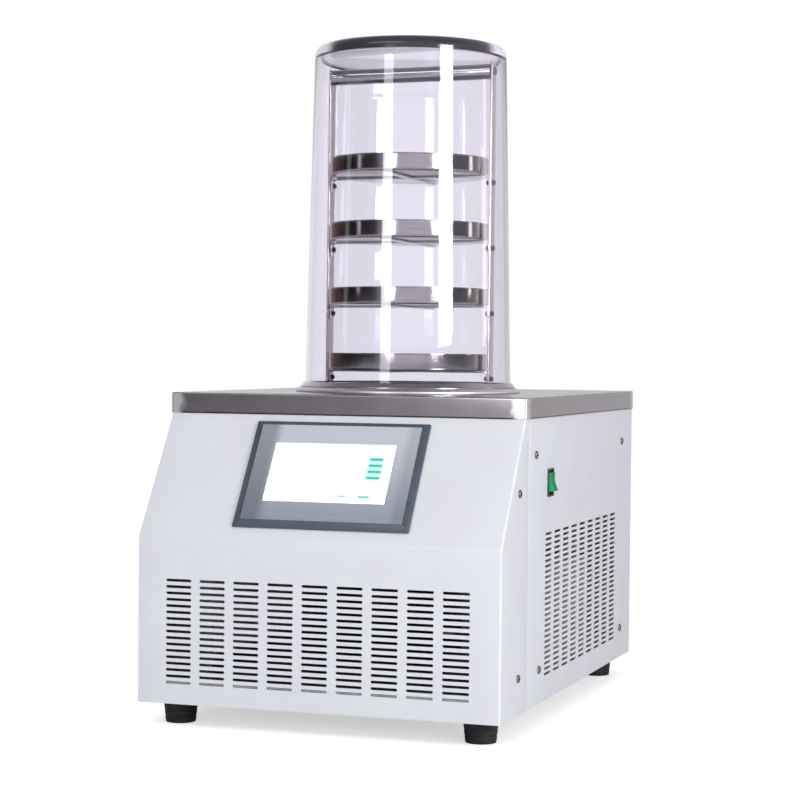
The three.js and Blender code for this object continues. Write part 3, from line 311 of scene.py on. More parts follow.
def also_finished(obj, finish, chosen):
    """Gives a second finish to the faces whose middles, in millimetres, are chosen."""
    middles = np.empty(len(obj.data.polygons) * 3)
    obj.data.polygons.foreach_get("center", middles)
    obj.data.materials.append(finish[0])
    slots = chosen(middles.reshape(-1, 3) / MM).astype(np.int32)
    obj.data.polygons.foreach_set("material_index", slots)
    print(obj.name, "has", slots.sum(), "faces in", finish[0].name)


print("pieces so far:", len(made))

# %% [markdown]
# ## Materials
# Each finish starts from what the real one is and how its surface was made. Colours are sRGB hex values
# that one function turns to linear light. Patterns read Object coordinates, which are metres on every
# piece, so a pattern's scale is one over its real size. One small function adds a node.

# %% Nodes
COLOURS = {"out": 2, "data_type": "RGBA"}  # a Mix node that mixes colours takes them at 6 and 7
SMOOTH = {"interpolation_type": "SMOOTHSTEP"}
WHITE = "#FFFFFF"


def linear(colour):
    """sRGB hex to linear light: c / 12.92 below 0.04045, else ((c + 0.055) / 1.055) to the power 2.4."""
    channels = [int(colour[i : i + 2], 16) / 255 for i in (1, 3, 5)]
    return (*[c / 12.92 if c < 0.04045 else ((c + 0.055) / 1.055) ** 2.4 for c in channels], 1.0)


def fill(node, inputs):
    """Sets inputs by name or in their order. A socket is linked, and a hex colour is turned to linear."""
    for name, value in (inputs if isinstance(inputs, dict) else dict(enumerate(inputs))).items():
        if isinstance(value, bpy.types.NodeSocket):
            node.id_data.links.new(value, node.inputs[name])
        else:
            node.inputs[name].default_value = linear(value) if isinstance(value, str) else value


def add_node(tree, kind, inputs=(), out=0, stops=(), **settings):
    """Adds a node with its settings, its inputs and, on a colour ramp, its stops of (position, colour).
    Gives back one of its outputs."""
    node = tree.nodes.new("ShaderNode" + kind)
    for name, value in settings.items():
        setattr(node, name, value)
    for number, (position, colour) in enumerate(stops):
        if number > 1:
            node.color_ramp.elements.new(1.0)
        node.color_ramp.elements[number].position = position
        node.color_ramp.elements[number].color = linear(colour)
    fill(node, inputs)
    return node.outputs[out]


print("mid grey is", round(linear("#808080")[0], 3), "in linear light")

# %% Patterns
def stretched(tree, scale, uv=None):
    """Object or UV coordinates scaled by a different amount along each axis, for grain and layers."""
    where = add_node(tree, "UVMap", uv_map=uv) if uv else add_node(tree, "TexCoord", out="Object")
    return add_node(tree, "Mapping", {"Vector": where, "Scale": scale})


def place_on_piece(tree):
    """The X, Y and Z of each point in metres."""
    return add_node(tree, "SeparateXYZ", [add_node(tree, "TexCoord", out="Object")]).node.outputs


def spotted(tree, size, low=0.0, high=1.0, where=None, detail=2.0, roughness=0.5):
    """A noise of features that many millimetres across, with its middle range spread over low to high.
    Its scale is one over the size in metres."""
    where = where or add_node(tree, "TexCoord", out="Object")
    inputs = {"Vector": where, "Scale": 1 / (size * MM), "Detail": detail, "Roughness": roughness}
    return add_node(tree, "MapRange", [add_node(tree, "TexNoise", inputs), 0.3, 0.7, low, high])


def inside(finish):
    """The node tree and the shader of a finish."""
    return finish[0].node_tree, finish[0].node_tree.nodes["Principled BSDF"]


def new_finish(name, slot_name, tones=None, gloss=None, relief=None, grain=None, **sockets):
    """A material and the slot it takes. Over patches of a size in millimetres, tones (size, detail, two
    colours) varies the colour, gloss (size, low, high) the roughness and relief (size, detail, depth,
    strength) the height. Grain stretches the patches of tones and relief."""
    material = bpy.data.materials.new(name)
    material.use_nodes = True
    tree, shader = inside((material, slot_name))

    def patches(size, detail):
        return spotted(tree, size, where=stretched(tree, grain) if grain else None, detail=detail)

    fill(shader, {key.replace("_", " "): value for key, value in sockets.items()})
    if tones:
        size, detail, first, second = tones
        toned = add_node(tree, "Mix", {0: patches(size, detail), 6: first, 7: second}, **COLOURS)
        fill(shader, {"Base Color": toned})
    if gloss:
        fill(shader, {"Roughness": spotted(tree, *gloss)})
    if relief:
        size, detail, depth, strength = relief
        bump = {"Height": patches(size, detail), "Distance": depth * MM, "Strength": strength}
        fill(shader, {"Normal": add_node(tree, "Bump", bump)})
    return material, slot_name


print("a pattern of 2.5 mm has the scale", 1 / (2.5 * MM))

# %% [markdown]
# ### Sheet metal
# The covers are sheet steel with a polyester powder coat. Powder flows out into a fine orange peel, waves
# about 2.5 mm apart and a few microns high, which softens every reflection. Down each corner the coat is
# glossier, and a paler colour there paints a highlight line.

# %% Powder coat
POWDER = new_finish(  # a soft pale sheen, hardly mottled
    "powder_coated_steel", "painted_steel", IOR=1.5, Coat_Weight=0.12, Coat_Roughness=0.3,
    tones=(60, 2, "#D8D9E1", "#DBDDE4"), gloss=(9, 0.41, 0.47), relief=(2.5, 1, 0.03, 0.5),
)
POWDER_EDGE_HIGHLIGHT = new_finish(  # a painted highlight line down a corner
    "powder_coat_painted_highlight", "painted_steel", Roughness=0.3, IOR=1.5, Coat_Weight=0.5, Coat_Roughness=0.15,
    tones=(14, 2, "#E1E3EA", "#E8EAF0"), relief=(2.5, 1, 0.03, 0.3),
)
print(len(inside(POWDER)[0].nodes), "nodes in the powder coat")

# %% [markdown]
# The worktop is stainless sheet ground with a belt. The grooves are about 0.2 mm apart, drawn here 0.9 mm
# apart so that they show. Its sheet is unfolded into a UV map, so the grain runs straight along the top and
# turns down with the folded sides. The corners were welded and ground again by hand: they are dull in
# ragged patches, and painted paler there as a highlight. A dark line of painted shadow lies along the folded
# hem.

# %% Brushed stainless
worktop = Box("worktop")
BRUSHED = new_finish("brushed_stainless_sheet", "brushed_stainless", Metallic=1.0)
tree, shader = inside(BRUSHED)
z = place_on_piece(tree)[2]
belt = spotted(tree, 0.9, where=stretched(tree, (0.006, 1, 1), "sheet"), detail=4, roughness=0.6)
steel = add_node(tree, "Mix", {0: belt, 6: "#A39EA1", 7: "#AAA5A8"}, **COLOURS)
# The lowest 1.2 to 1.8 mm of the apron is painted dark: a painted shadow along the folded hem.
above_painted_hem_shadow = add_node(tree, "MapRange", [z, *(worktop.low[2] + np.array([1.2, 1.8])) * MM])
steel = add_node(tree, "Mix", {0: above_painted_hem_shadow, 6: "#40383A", 7: steel}, **COLOURS)

# The way out from the middle, x and y added up, is longest at the corners.
centred = {"Vector": add_node(tree, "TexCoord", out="Object"), "Location": -worktop.middle * MM}
outwards = add_node(tree, "VectorMath", [add_node(tree, "Mapping", centred)], operation="ABSOLUTE")
outwards = add_node(tree, "VectorMath", [outwards, (1, 1, 0)], "Value", operation="DOT_PRODUCT")
ragged = add_node(tree, "Math", [outwards, spotted(tree, 14, -0.004, 0.004)], operation="ADD")
patch_from, patch_to = (worktop.half[:2].sum() - np.array([21, 9.5])) * MM
ground_and_highlight = add_node(tree, "MapRange", [ragged, patch_from, patch_to], **SMOOTH)
below = add_node(tree, "MapRange", [z, *(worktop.high[2] - np.array([0.5, 2])) * MM])
ground_and_highlight = add_node(tree, "Math", [ground_and_highlight, below], operation="MULTIPLY")
dull = add_node(tree, "Mix", {0: ground_and_highlight, 2: add_node(tree, "MapRange", {0: below, 3: 0.26, 4: 0.12}), 3: 0.3})
rough = add_node(tree, "Math", [dull, spotted(tree, 45, 0, 0.03)], operation="ADD")
# The ground corner patches are painted pale: a painted highlight over the duller grinding.
steel = add_node(tree, "Mix", {0: ground_and_highlight, 6: steel, 7: "#D8D4DA"}, **COLOURS)
grooves = add_node(tree, "Bump", {"Height": belt, "Distance": 0.002 * MM, "Strength": 0.1})
fill(shader, {"Base Color": steel, "Roughness": rough, "Normal": grooves})
print(len(tree.nodes), "nodes in the brushed steel")

# %% [markdown]
# ### Turned, plated and bare metals
# Turned stainless shows fine rings from the lathe and the polishing mop. Zinc-plated steel has crystals
# of zinc some 8 mm across, each tilting the light a little. Screws are blackened in spots by handling.
# Copper tube browns in patches with heat. Fin stock is thin bare aluminium sheet.

# %% Metals
POLISHED = new_finish(  # bright, with faint rings: pipes, the rack's handle, the trap
    "polished_stainless_steel", "polished_stainless", grain=(0.05, 0.05, 1), Metallic=1.0,
    tones=(1.1, 3, "#B4B2B4", "#C9C7C9"), gloss=(30, 0.13, 0.2), relief=(1.1, 3, 0.005, 0.2),
)
SATIN = new_finish(  # pale and soft, as the lathe left it: the ring under the jar
    "satin_turned_stainless_steel", "polished_stainless", grain=(0.05, 0.05, 1), Metallic=1.0,
    tones=(0.9, 3, "#D6D3DB", "#E6E3EA"), gloss=(30, 0.42, 0.55), relief=(0.9, 3, 0.006, 0.3),
)
MOPPED = new_finish(  # nearly a mirror, which shows the dark room: trays and rack
    "mopped_stainless_steel", "polished_stainless", grain=(0.08, 0.08, 1), Metallic=1.0,
    tones=(1.4, 3, "#B4AFAE", "#C4C0BF"), gloss=(30, 0.11, 0.15), relief=(1.4, 3, 0.003, 0.15),
)
SCREW = new_finish(  # small dark and bright spots
    "plated_screw_steel", "screw_steel", Metallic=1.0,
    tones=(1.6, 3, "#6E6664", "#9A9391"), gloss=(1, 0.14, 0.28),
)
COPPER = new_finish(  # warm, browned in patches
    "drawn_copper_tube", "copper", Metallic=1.0,
    tones=(11, 3, "#8A4A30", "#C47A55"), gloss=(5, 0.25, 0.5), relief=(0.8, 2, 0.01, 0.3),
)
FIN = new_finish(  # dusty and almost matt
    "bare_aluminium_fin", "fin_aluminium", Metallic=0.2,
    tones=(7, 4, "#CFCAC0", "#E4E0D8"), gloss=(2, 0.38, 0.6),
)
ZINC = new_finish("zinc_plated_steel", "zinc_steel", Metallic=1.0)  # spangled with grey crystals
tree, shader = inside(ZINC)
crystal = {"Vector": add_node(tree, "TexCoord", out="Object"), "Scale": 1 / (8 * MM)}
shade = add_node(tree, "SeparateColor", [add_node(tree, "TexVoronoi", crystal, "Color")])
zinc = add_node(tree, "Mix", {0: shade, 6: "#8E9094", 7: "#A9ABAE"}, **COLOURS)
fill(shader, {"Base Color": zinc, "Roughness": add_node(tree, "MapRange", {0: shade, 3: 0.34, 4: 0.5})})
print(len(bpy.data.materials), "materials so far")

# %% [markdown]
# ### Clear and coloured plastics
# The jar is cast acrylic: a refractive index of 1.49, almost no colour, and a haze of fine scratches. Its
# turned top edge is seen along the thickness, where the whole dark room is gathered into a band: that band
# is a painted reflection in the edge's colour. The touch panel is a printed polycarbonate overlay under a
# gloss coat. Moulded plastics have a spark-eroded texture about 1 mm across.

# %% Acrylic
ACRYLIC = new_finish(
    "clear_cast_acrylic", "clear_acrylic", relief=(90, 0, 0.05, 0.2),
    Base_Color="#F4F2FA", IOR=1.49, Transmission_Weight=1.0,
)
tree, shader = inside(ACRYLIC)
fill(shader, {"Roughness": spotted(tree, 25, 0, 0.012, detail=4)})

ACRYLIC_EDGE_REFLECTION = new_finish("acrylic_edge_painted_reflection", "clear_acrylic", gloss=(25, 0.08, 0.16), IOR=1.49)
tree, shader = inside(ACRYLIC_EDGE_REFLECTION)
axis = Box("tray_1").middle[:2]  # the chamber's axis
# A painted reflection of the dark room: dark where the edge faces the eye and light where it turns
# away, by the level way out from the axis.
where = add_node(tree, "TexCoord", out="Object")
level = add_node(tree, "Mapping", {"Vector": where, "Location": (*-axis * MM, 0), "Scale": (1, 1, 0)})
level = add_node(tree, "VectorMath", [level], operation="NORMALIZE")
grazing = add_node(tree, "LayerWeight", {"Blend": 0.5, "Normal": level}, "Facing")
EDGE_ON_REFLECTION = [(0.25, "#39373D"), (0.36, "#453F47"), (0.42, "#6A5564"), (0.47, "#B3A6B6"), (0.55, "#EAE7F0")]
EDGE_ON_REFLECTION += [(1, "#F6F4FA")]
fill(shader, {"Base Color": add_node(tree, "ValToRGB", [grazing], stops=EDGE_ON_REFLECTION)})
print("the chamber's axis is at", axis.round(1))

# %% Moulded plastics
BEZEL = new_finish(  # slate grey, with a satin sheen
    "satin_bezel_plastic", "bezel_plastic", Roughness=0.38, IOR=1.53,
    tones=(20, 2, "#3F4955", "#485360"), relief=(1, 2, 0.02, 0.4),
)
BLACK = new_finish(  # soft grey sheen over black
    "black_nylon", "black_plastic", IOR=1.53,
    tones=(12, 2, "#1B1C1F", "#232427"), gloss=(2, 0.38, 0.52), relief=(0.9, 2, 0.02, 0.5),
)
FAN = new_finish(  # greyer and rougher, from its glass fibres
    "glass_filled_nylon", "fan_plastic", Roughness=0.55, IOR=1.53,
    tones=(10, 2, "#26272A", "#313236"), relief=(1.2, 2, 0.02, 0.5),
)
print(len(bpy.data.materials), "materials so far")

# %% [markdown]
# The overlay film is printed grey-blue with a fine brushed pattern. It is painted paler towards the top, as
# a painted reflection of the light overhead, and darker in a strip at each side. The rocker and the lever
# are clear green plastic: the flank that faces the front is painted brighter as painted light, and both have
# a faint painted glow.

# %% Printed film and green plastic
screen, rocker = Box("screen_bezel"), Box("switch_rocker")
OVERLAY = new_finish(
    "gloss_overlay_film", "bezel_plastic", relief=(6, 2, 0.01, 0.2),
    Roughness=0.3, IOR=1.5, Coat_Weight=1.0, Coat_Roughness=0.06,
)
tree, shader = inside(OVERLAY)
x, y, z = place_on_piece(tree)
brushed = spotted(tree, 1.6, where=stretched(tree, (0.02, 1, 1)), detail=3)
print_and_painted_reflection = add_node(tree, "Mix", {0: brushed, 6: "#878E9D", 7: "#9399A8"}, **COLOURS)
# Painted reflection: paler towards the top, as if mirroring the light overhead.
painted_reflection_upwards = add_node(tree, "MapRange", [z, (screen.low[2] + 4) * MM, (screen.high[2] - 5.5) * MM], **SMOOTH)
print_and_painted_reflection = add_node(tree, "Mix", {0: painted_reflection_upwards, 6: print_and_painted_reflection, 7: "#C2C5D0"}, **COLOURS)
for ends, shares in (((-85, -69), (0.54, 0)), ((79, 93), (0, 0.26))):
    ends = (screen.middle[0] + np.array(ends)) * MM
    strip = add_node(tree, "MapRange", [x, *ends, *shares], **SMOOTH)
    print_and_painted_reflection = add_node(tree, "Mix", {0: strip, 6: print_and_painted_reflection, 7: "#3A424F"}, **COLOURS)
fill(shader, {"Base Color": print_and_painted_reflection})

GREEN = new_finish(
    "green_polycarbonate", "green_plastic", relief=(0.9, 2, 0.01, 0.3),
    Roughness=0.4, IOR=1.58, Specular_IOR_Level=0.1, Emission_Strength=0.12,
)
tree, shader = inside(GREEN)
y = place_on_piece(tree)[1]
body = add_node(tree, "Mix", {0: spotted(tree, 7), 6: "#0A6C40", 7: "#107A4A"}, **COLOURS)
# The flank that faces the front is painted brighter, as painted light; the emission is a faint painted glow.
painted_lit_flank = add_node(tree, "MapRange", [y, *(rocker.low[1] + np.array([0.4, 1])) * MM])
body = add_node(tree, "Mix", {0: painted_lit_flank, 6: "#1FB273", 7: body}, **COLOURS)
fill(shader, {"Base Color": body, "Emission Color": body})
print(len(bpy.data.materials), "materials so far")

# %% [markdown]
# ### Rubber, foam, enamel
# Moulded rubber feet carry a dusty bloom. The gasket is a softer nitrile rubber with a satin skin. The
# insulation is foamed in place and skinned over with cells of about 3 mm. The compressor and the fan
# guard are stoved black enamel, glossy with a slight sag in the film.

# %% Rubber, foam and enamel
FOOT = new_finish(  # dusty black
    "moulded_foot_rubber", "foot_rubber", IOR=1.52,
    tones=(8, 4, "#0E0D10", "#161519"), gloss=(5, 0.6, 0.8), relief=(1.3, 2, 0.05, 0.5),
)
NITRILE = new_finish(  # dark grey with a satin skin
    "nitrile_gasket_rubber", "seal_rubber", IOR=1.52,
    tones=(10, 3, "#2C2B33", "#3B3A44"), gloss=(6, 0.34, 0.5), relief=(2, 2, 0.02, 0.4),
)
FOAM = new_finish(  # yellowish and knobbly
    "skinned_foam", "foam", Roughness=0.85, IOR=1.45,
    tones=(18, 4, "#CBBE97", "#E0D6B6"), relief=(3, 4, 0.4, 0.6),
)
ENAMEL = new_finish(  # glossy black with a slow wave in it
    "stoved_black_enamel", "black_enamel", Roughness=0.28, IOR=1.5, Coat_Weight=0.6,
    tones=(25, 2, "#131416", "#1C1D20"), relief=(5, 1, 0.04, 0.4),
)
print(len(bpy.data.materials), "materials")

# %% [markdown]
# ## The cabinet's sheet metal
# The cover, side panels and rear panel are laser-cut, folded and welded sheet. Each one is drawn here as
# it is made: a flat blank with its slots, then a rule that bends the blank into space. The blank is a
# grid cut on chosen lines, and each cell that holds a slot is replaced by a ring of faces round the
# slot's outline, so that a slot costs 16 faces and the sheet stays one mesh. Boolean cuts would give the
# same holes, but they are slow for 420 slots and leave long thin faces that shade badly.

# %% Sheet with holes
SHEET, CUT = 1.5, 9.0  # the sheet's thickness, and how far a cutter reaches to each side of it
SLOT_LENGTH, SLOT_HEIGHT = 30.0, 3.2


def punched(us, vs, holes, place, left_out=None):
    """A sheet on the lines us across and vs along. A hole is (u, v, half length, half width, corner), in a
    cell of its own. place(u, v) bends the blank; left_out(u, v) says which cells aren't there."""
    us, vs = np.unique(np.round(us, 4)), np.unique(np.round(vs, 4))
    holes = np.asarray(holes, float).reshape(-1, 5)
    v, u = np.meshgrid(vs, us, indexing="ij")
    faces = grid_faces(len(vs), len(us))
    keep = np.ones(len(faces), bool)
    if left_out:
        mid_v, mid_u = np.meshgrid((vs[1:] + vs[:-1]) / 2, (us[1:] + us[:-1]) / 2, indexing="ij")
        keep &= ~left_out(mid_u.ravel(), mid_v.ravel())
    row, column = np.searchsorted(vs, holes[:, 1]) - 1, np.searchsorted(us, holes[:, 0]) - 1
    keep[row * (len(us) - 1) + column] = False
    # Each hole's outline: four corners, each rounded over four points by the rule of eased().
    square = (SQUARE * holes[:, None, 2:4])[:, :, None]
    steps = (holes[:, None, None, 4:] * (np.roll(SQUARE, way, 0) - SQUARE)[:, None] / 2 for way in (1, -1))
    a, b = (square + step for step in steps)
    s = np.linspace(0, 1, 4)[:, None]
    arc = (1 - s) ** 2 * a + 2 * s * (1 - s) * square + s**2 * b
    outline = (arc + holes[:, None, None, :2]).reshape(-1, 2)
    # Three triangles fan out at each corner of the cell, and a quad fills each side between them.
    arcs = u.size + np.arange(len(outline)).reshape(-1, 4, 4)
    base = row * len(us) + column
    corner = np.stack([base + 1, base + len(us) + 1, base + len(us), base], 1)
    fans = np.stack([np.repeat(corner[:, :, None], 3, 2), arcs[:, :, 1:], arcs[:, :, :-1]], -1)
    following = np.roll(np.arange(4), -1)
    sides = np.stack([corner, corner[:, following], arcs[:, following, 0], arcs[:, :, 3]], -1)
    flat = np.concatenate([np.column_stack([u.ravel(), v.ravel()]), outline])
    return place(flat[:, 0], flat[:, 1]), [faces[keep], fans.reshape(-1, 3), sides.reshape(-1, 4)]


def slot_field(columns, rows, pitch_u, pitch_v, centre_u, base_v, length=SLOT_LENGTH):
    """Slots in rows and columns: their holes, and the grid's lines midway between them."""
    u = centre_u + (np.arange(columns) - (columns - 1) / 2) * pitch_u
    v = base_v + np.arange(rows) * pitch_v
    grid_u, grid_v = np.meshgrid(u, v)
    size = np.broadcast_to([length / 2, SLOT_HEIGHT / 2, SLOT_HEIGHT / 2 - 0.1], (columns * rows, 3))
    holes = np.column_stack([grid_u.ravel(), grid_v.ravel(), size])
    return holes, np.r_[u - pitch_u / 2, u[-1] + pitch_u / 2], np.r_[v - pitch_v / 2, v[-1] + pitch_v / 2]


def sheet(node, blank, cutout=None):
    """Folded and coated sheet steel in place of a CAD node."""
    return piece(node + "_sheet", blank, POWDER, [node], thickness=SHEET, bevel=0.3, cutout=cutout)


print("a slot is", SLOT_LENGTH, "by", SLOT_HEIGHT, "mm")

# %% [markdown]
# ### Front cover
# One blank makes the upright front, the sloping panel and both wrapped sides. Its blank runs across in u
# and up the folded front in v. Past the flat front, u turns round the welded corner and then runs back to
# the seam, so the sides meet the slope's edge exactly.

# %% Front cover
cover = Box("front_cover")
middle_x, half_width = cover.middle[0], cover.half[0]
front_y, base_z, cover_top = cover.low[1], cover.low[2], cover.high[2]
slope_top = worktop.low[2]
FRONT_HEIGHT, SLOPE_SETBACK = 197.0, 95.0
CORNER, FOLD = 2.2, 3.0  # radii of the welded corner and of the folds
EDGE_ROLL = 2.0  # the radius to which both sheets turn in at the seam
slope = np.array([SLOPE_SETBACK, slope_top - base_z - FRONT_HEIGHT])
slope_length = math.hypot(*slope)
slope /= slope_length

slope_end = front_y + SLOPE_SETBACK
folds = [(front_y, base_z), (front_y, base_z + FRONT_HEIGHT), (slope_end, slope_top), (slope_end, cover_top)]
chain_v, chain = lengths_along(eased(folds, FOLD, 5))
chain_way = unit_tangent(chain)
flat_u, arc_u = half_width - CORNER, CORNER * np.pi / 2
wrap_y = cover.high[1] - EDGE_ROLL  # where the side begins to turn in
side_start = flat_u + arc_u
side_end = side_start + wrap_y - front_y


def cover_place(u, v):
    """Blank to space: v runs along the folded front line. Round the corner by angle t, a point goes
    sideways by r sin t and inwards by r (1 - cos t). Then it runs straight back, by a share of the way
    to the seam, and turns in there by the same rule."""
    y, z = (np.interp(v, chain_v, column) for column in chain.T)
    way_y, way_z = (np.interp(v, chain_v, column) for column in chain_way.T)
    across = np.abs(u)
    t = np.clip((across - flat_u) / arc_u, 0, 1) * np.pi / 2
    share = np.clip((across - side_start) / (side_end - side_start), 0, 1)
    roll = np.clip((across - side_end) / EDGE_ROLL, 0, np.pi / 2)
    out = np.minimum(across, flat_u) + CORNER * np.sin(t) - EDGE_ROLL * (1 - np.cos(roll))
    inwards = CORNER * (1 - np.cos(t))
    y, z = y + inwards * way_z, z - inwards * way_y
    y = y + share * (wrap_y - y) + EDGE_ROLL * np.sin(roll)
    return np.column_stack([middle_x + np.sign(u) * out, y, np.maximum(z, base_z)])


front_holes, front_u, front_v = slot_field(9, 17, 42.8, 7.55, 0, 25.5, SLOT_LENGTH + 2)
bend_shares = np.linspace(0, 1, 5)
roll_in = EDGE_ROLL * np.pi / 2 * bend_shares
thirds = side_start + (side_end - side_start) * np.array([0.33, 0.66])
lines = np.r_[flat_u + arc_u * bend_shares, thirds, side_end + roll_in]
levels = np.r_[chain_v, front_v, FRONT_HEIGHT - 20, FRONT_HEIGHT + slope_length / 2]

# The screen's own axes on the slope: x to the right, y up the slope and z square to it.
SCREEN_DROP, FRAME_OVERLAP = 11.0, 7.7
screen_half = np.array([218.0, 145.0]) / 2
screen_centre = -SCREEN_DROP - screen_half[1]
on_slope = (screen.middle[0], slope_end, slope_top), ((1, 0, 0), (0, *slope), (0, -slope[1], slope[0]))
opening = rounded_outline(*(screen_half - FRAME_OVERLAP), 2) + (0, screen_centre)
opening = placed(extruded(opening, -CUT, CUT, 0.1), *on_slope)
blank = punched(np.r_[-lines, front_u, lines], levels, front_holes, cover_place)
cover_sheet = sheet("front_cover", blank, opening)


def on_front_corner(at):
    """Within the corner's radius of the front line, and within it of the side."""
    line_y = np.interp(at[:, 2], chain[:, 1], chain[:, 0])
    outwards = np.abs(at[:, 0] - middle_x)
    return (outwards > flat_u) & (outwards < half_width - 0.02) & (at[:, 1] < line_y + CORNER)


# The corners' faces take the paler colour, a painted highlight.
also_finished(cover_sheet, POWDER_EDGE_HIGHLIGHT, on_front_corner)

# %% [markdown]
# ### Side and rear panels
# The right panel carries 9 columns of 27 slots for the condenser and the cut-out for the mains switch.
# Both side panels fold inwards along the top as a stiffening lip, under the worktop. The rear panel folds
# forwards at both sides, where the side panels' screws hold it.

# %% Side panels
rear, switch = Box("rear_panel"), Box("switch_housing")
rear_y = rear.high[1]
LIP, RETURN, PANEL_FOLD = 13.5, 84.0, 2.0
lip_base = cover_top - PANEL_FOLD
lip_levels = lip_base + np.array([0, 0.8, 1.6, 2.4, 3.14])
lip_end = rear_y - RETURN - 0.5  # the lip stops where the rear panel's fold begins
side_front = Box("side_panel_right").low[1] + EDGE_ROLL


def side_panel(side, holes, lines, levels):
    """A side's blank in space: u runs back, v runs up and over a fold of 2 mm into the lip. The front edge
    turns in by the radius at the seam."""

    def place(u, v):
        t = np.clip((v - lip_base) / np.pi, 0, 1) * np.pi / 2
        into = PANEL_FOLD * (1 - np.cos(t)) + np.maximum(v - lip_base - np.pi, 0)
        z = np.minimum(v, lip_base) + PANEL_FOLD * np.sin(t)
        roll = np.maximum(side_front - side * u, 0) / EDGE_ROLL
        y = np.maximum(side * u, side_front) - EDGE_ROLL * np.sin(roll)
        into = into + EDGE_ROLL * (1 - np.cos(roll))
        return np.column_stack([middle_x + side * (half_width - into), y, z])

    lines = side * np.r_[side_front - roll_in, lines, lip_end, rear_y]
    levels = np.r_[base_z, levels, lip_levels, cover_top + LIP]
    return punched(lines, levels, holes, place, lambda u, v: (v > lip_base) & (side * u > lip_end))


side_holes, side_u, side_v = slot_field(9, 27, 42, 6.5, front_y + 372, base_z + 31.5)
at_switch = (cover.high[0], *switch.middle[1:])
opening = placed(extruded(rounded_outline(10.6, 15.1, 0.8), -CUT, CUT, 0.1), at_switch, ALONG_X)
sheet("side_panel_right", side_panel(1, side_holes, side_u, np.r_[side_v, 270, 330]), opening)
sheet("side_panel_left", side_panel(-1, [], [-100, 60], [120, 240]))

# %% Rear panel
pipe, lever = Box("vacuum_pipe"), Box("drain_lever")
inlet, compressor = Box("mains_inlet"), Box("compressor")
STEM_RISE = 18.3  # from the drain's axis to the underside of the valve's lever
drain_z = lever.low[2] - STEM_RISE
flat_rear = rear.half[0] - PANEL_FOLD
return_base = base_z + 27.3


def rear_place(u, v):
    """Blank to space: u runs to the left along the face and round a 2 mm fold into the forward returns."""
    across = np.abs(u)
    t = np.clip((across - flat_rear) / np.pi, 0, 1) * np.pi / 2
    x = middle_x - np.sign(u) * (np.minimum(across, flat_rear) + PANEL_FOLD * np.sin(t))
    forward = PANEL_FOLD * (1 - np.cos(t)) + np.maximum(across - flat_rear - np.pi, 0)
    return np.column_stack([x, rear_y - forward, v])


vents, vents_u, vents_v = slot_field(3, 8, 40, 9, middle_x - compressor.middle[0], base_z + 210)
folded_u = flat_rear + np.r_[np.pi * bend_shares, np.pi + RETURN - PANEL_FOLD]
plug_u = middle_x - inlet.middle[0] + np.array([-19.8, 19.8])
plug_v = inlet.middle[2] + np.array([-11.3, 11.3])


def rear_left_out(u, v):
    """The mains inlet's cut-out, and the foot of each return, where the base pan turns up."""
    plug = (u > plug_u[0]) & (u < plug_u[1]) & (v > plug_v[0]) & (v < plug_v[1])
    return plug | ((np.abs(u) > folded_u[-2]) & (v < return_base))


lines = np.r_[-folded_u, plug_u, 0, vents_u, folded_u]
levels = np.r_[base_z, return_base, plug_v, vents_v, cover_top]
ports = []
for radius, z, steps in ((14.3, pipe.middle[2], 48), (6.3, drain_z, 32)):
    drill = turned([(0, -CUT), (radius, -CUT), (radius, CUT), (0, CUT)], steps)
    ports.append(placed(drill, (pipe.middle[0], rear_y, z), ALONG_Y))
sheet("rear_panel", punched(lines, levels, vents, rear_place, rear_left_out), joined(*ports))

# %% [markdown]
# ### Worktop
# The worktop is a stainless lid: a flat sheet with the trap's mouth cut in it, folded down all round. It is
# a loft from the mouth's circle to a rounded rectangle, over a 2 mm fold and down the apron. The sheet
# coordinate of each point is where it lay before folding, so the belt grain turns down with the sides.

# %% Worktop
TRAP_RIM, TOP_FOLD = 14.0, 2.0
mouth = Box("trap_vessel").half[0] - TRAP_RIM + 0.3
apron_z, top_z = worktop.low[2], worktop.high[2]

edge_line = rounded_outline(*worktop.half[:2], 3.0, 5, 24) + worktop.middle[:2]
ray = edge_line - axis
around_mouth = axis + mouth * ray / np.linalg.norm(ray, axis=1, keepdims=True)
t = np.linspace(0, np.pi / 2, 6)
outlines = [edge_line, edge_line] + [inset(edge_line, TOP_FOLD * (1 - math.cos(a))) for a in t]
heights = [apron_z, apron_z + 8, *(top_z - TOP_FOLD + TOP_FOLD * np.sin(t)), *[top_z] * 3]
flat_line = outlines[-1]
outlines += [flat_line * (1 - share) + around_mouth * share for share in (0.3, 0.7, 1.0)]
# Unfolded, a point of the apron or the fold lies beyond the flat top by its length along the sheet.
beyond = [top_z - TOP_FOLD * (1 - math.pi / 2) - z for z in heights[:2]]
beyond += [TOP_FOLD * (math.pi / 2 - a) for a in t]
outwards = inset(flat_line, -1) - flat_line
unfolded = np.concatenate([flat_line + outwards * out for out in beyond] + outlines[len(beyond) :])
lid = lofted(at_heights(outlines, heights), caps=(False, False))
worktop_sheet = piece("worktop_sheet", lid, BRUSHED, ["worktop"], uv=unfolded, thickness=1.2, bevel=0.25)
worktop_sheet.modifiers.new("flat_faces_shade_flat", "WEIGHTED_NORMAL").keep_sharp = True

# %% [markdown]
# ### Screws and feet
# The covers are held by pan-head screws with a hexagon recess. A head is a domed turned form; its recess
# starts from the same ring of points, drawn in to a hexagon: at angle t its radius is the hexagon's inner
# radius over the cosine of t taken within each sixth. The feet are moulded cones with a ribbed skirt, a
# recess below and the screw that holds them.

# %% Screws
ROUND = 36  # points round a screw or a nut


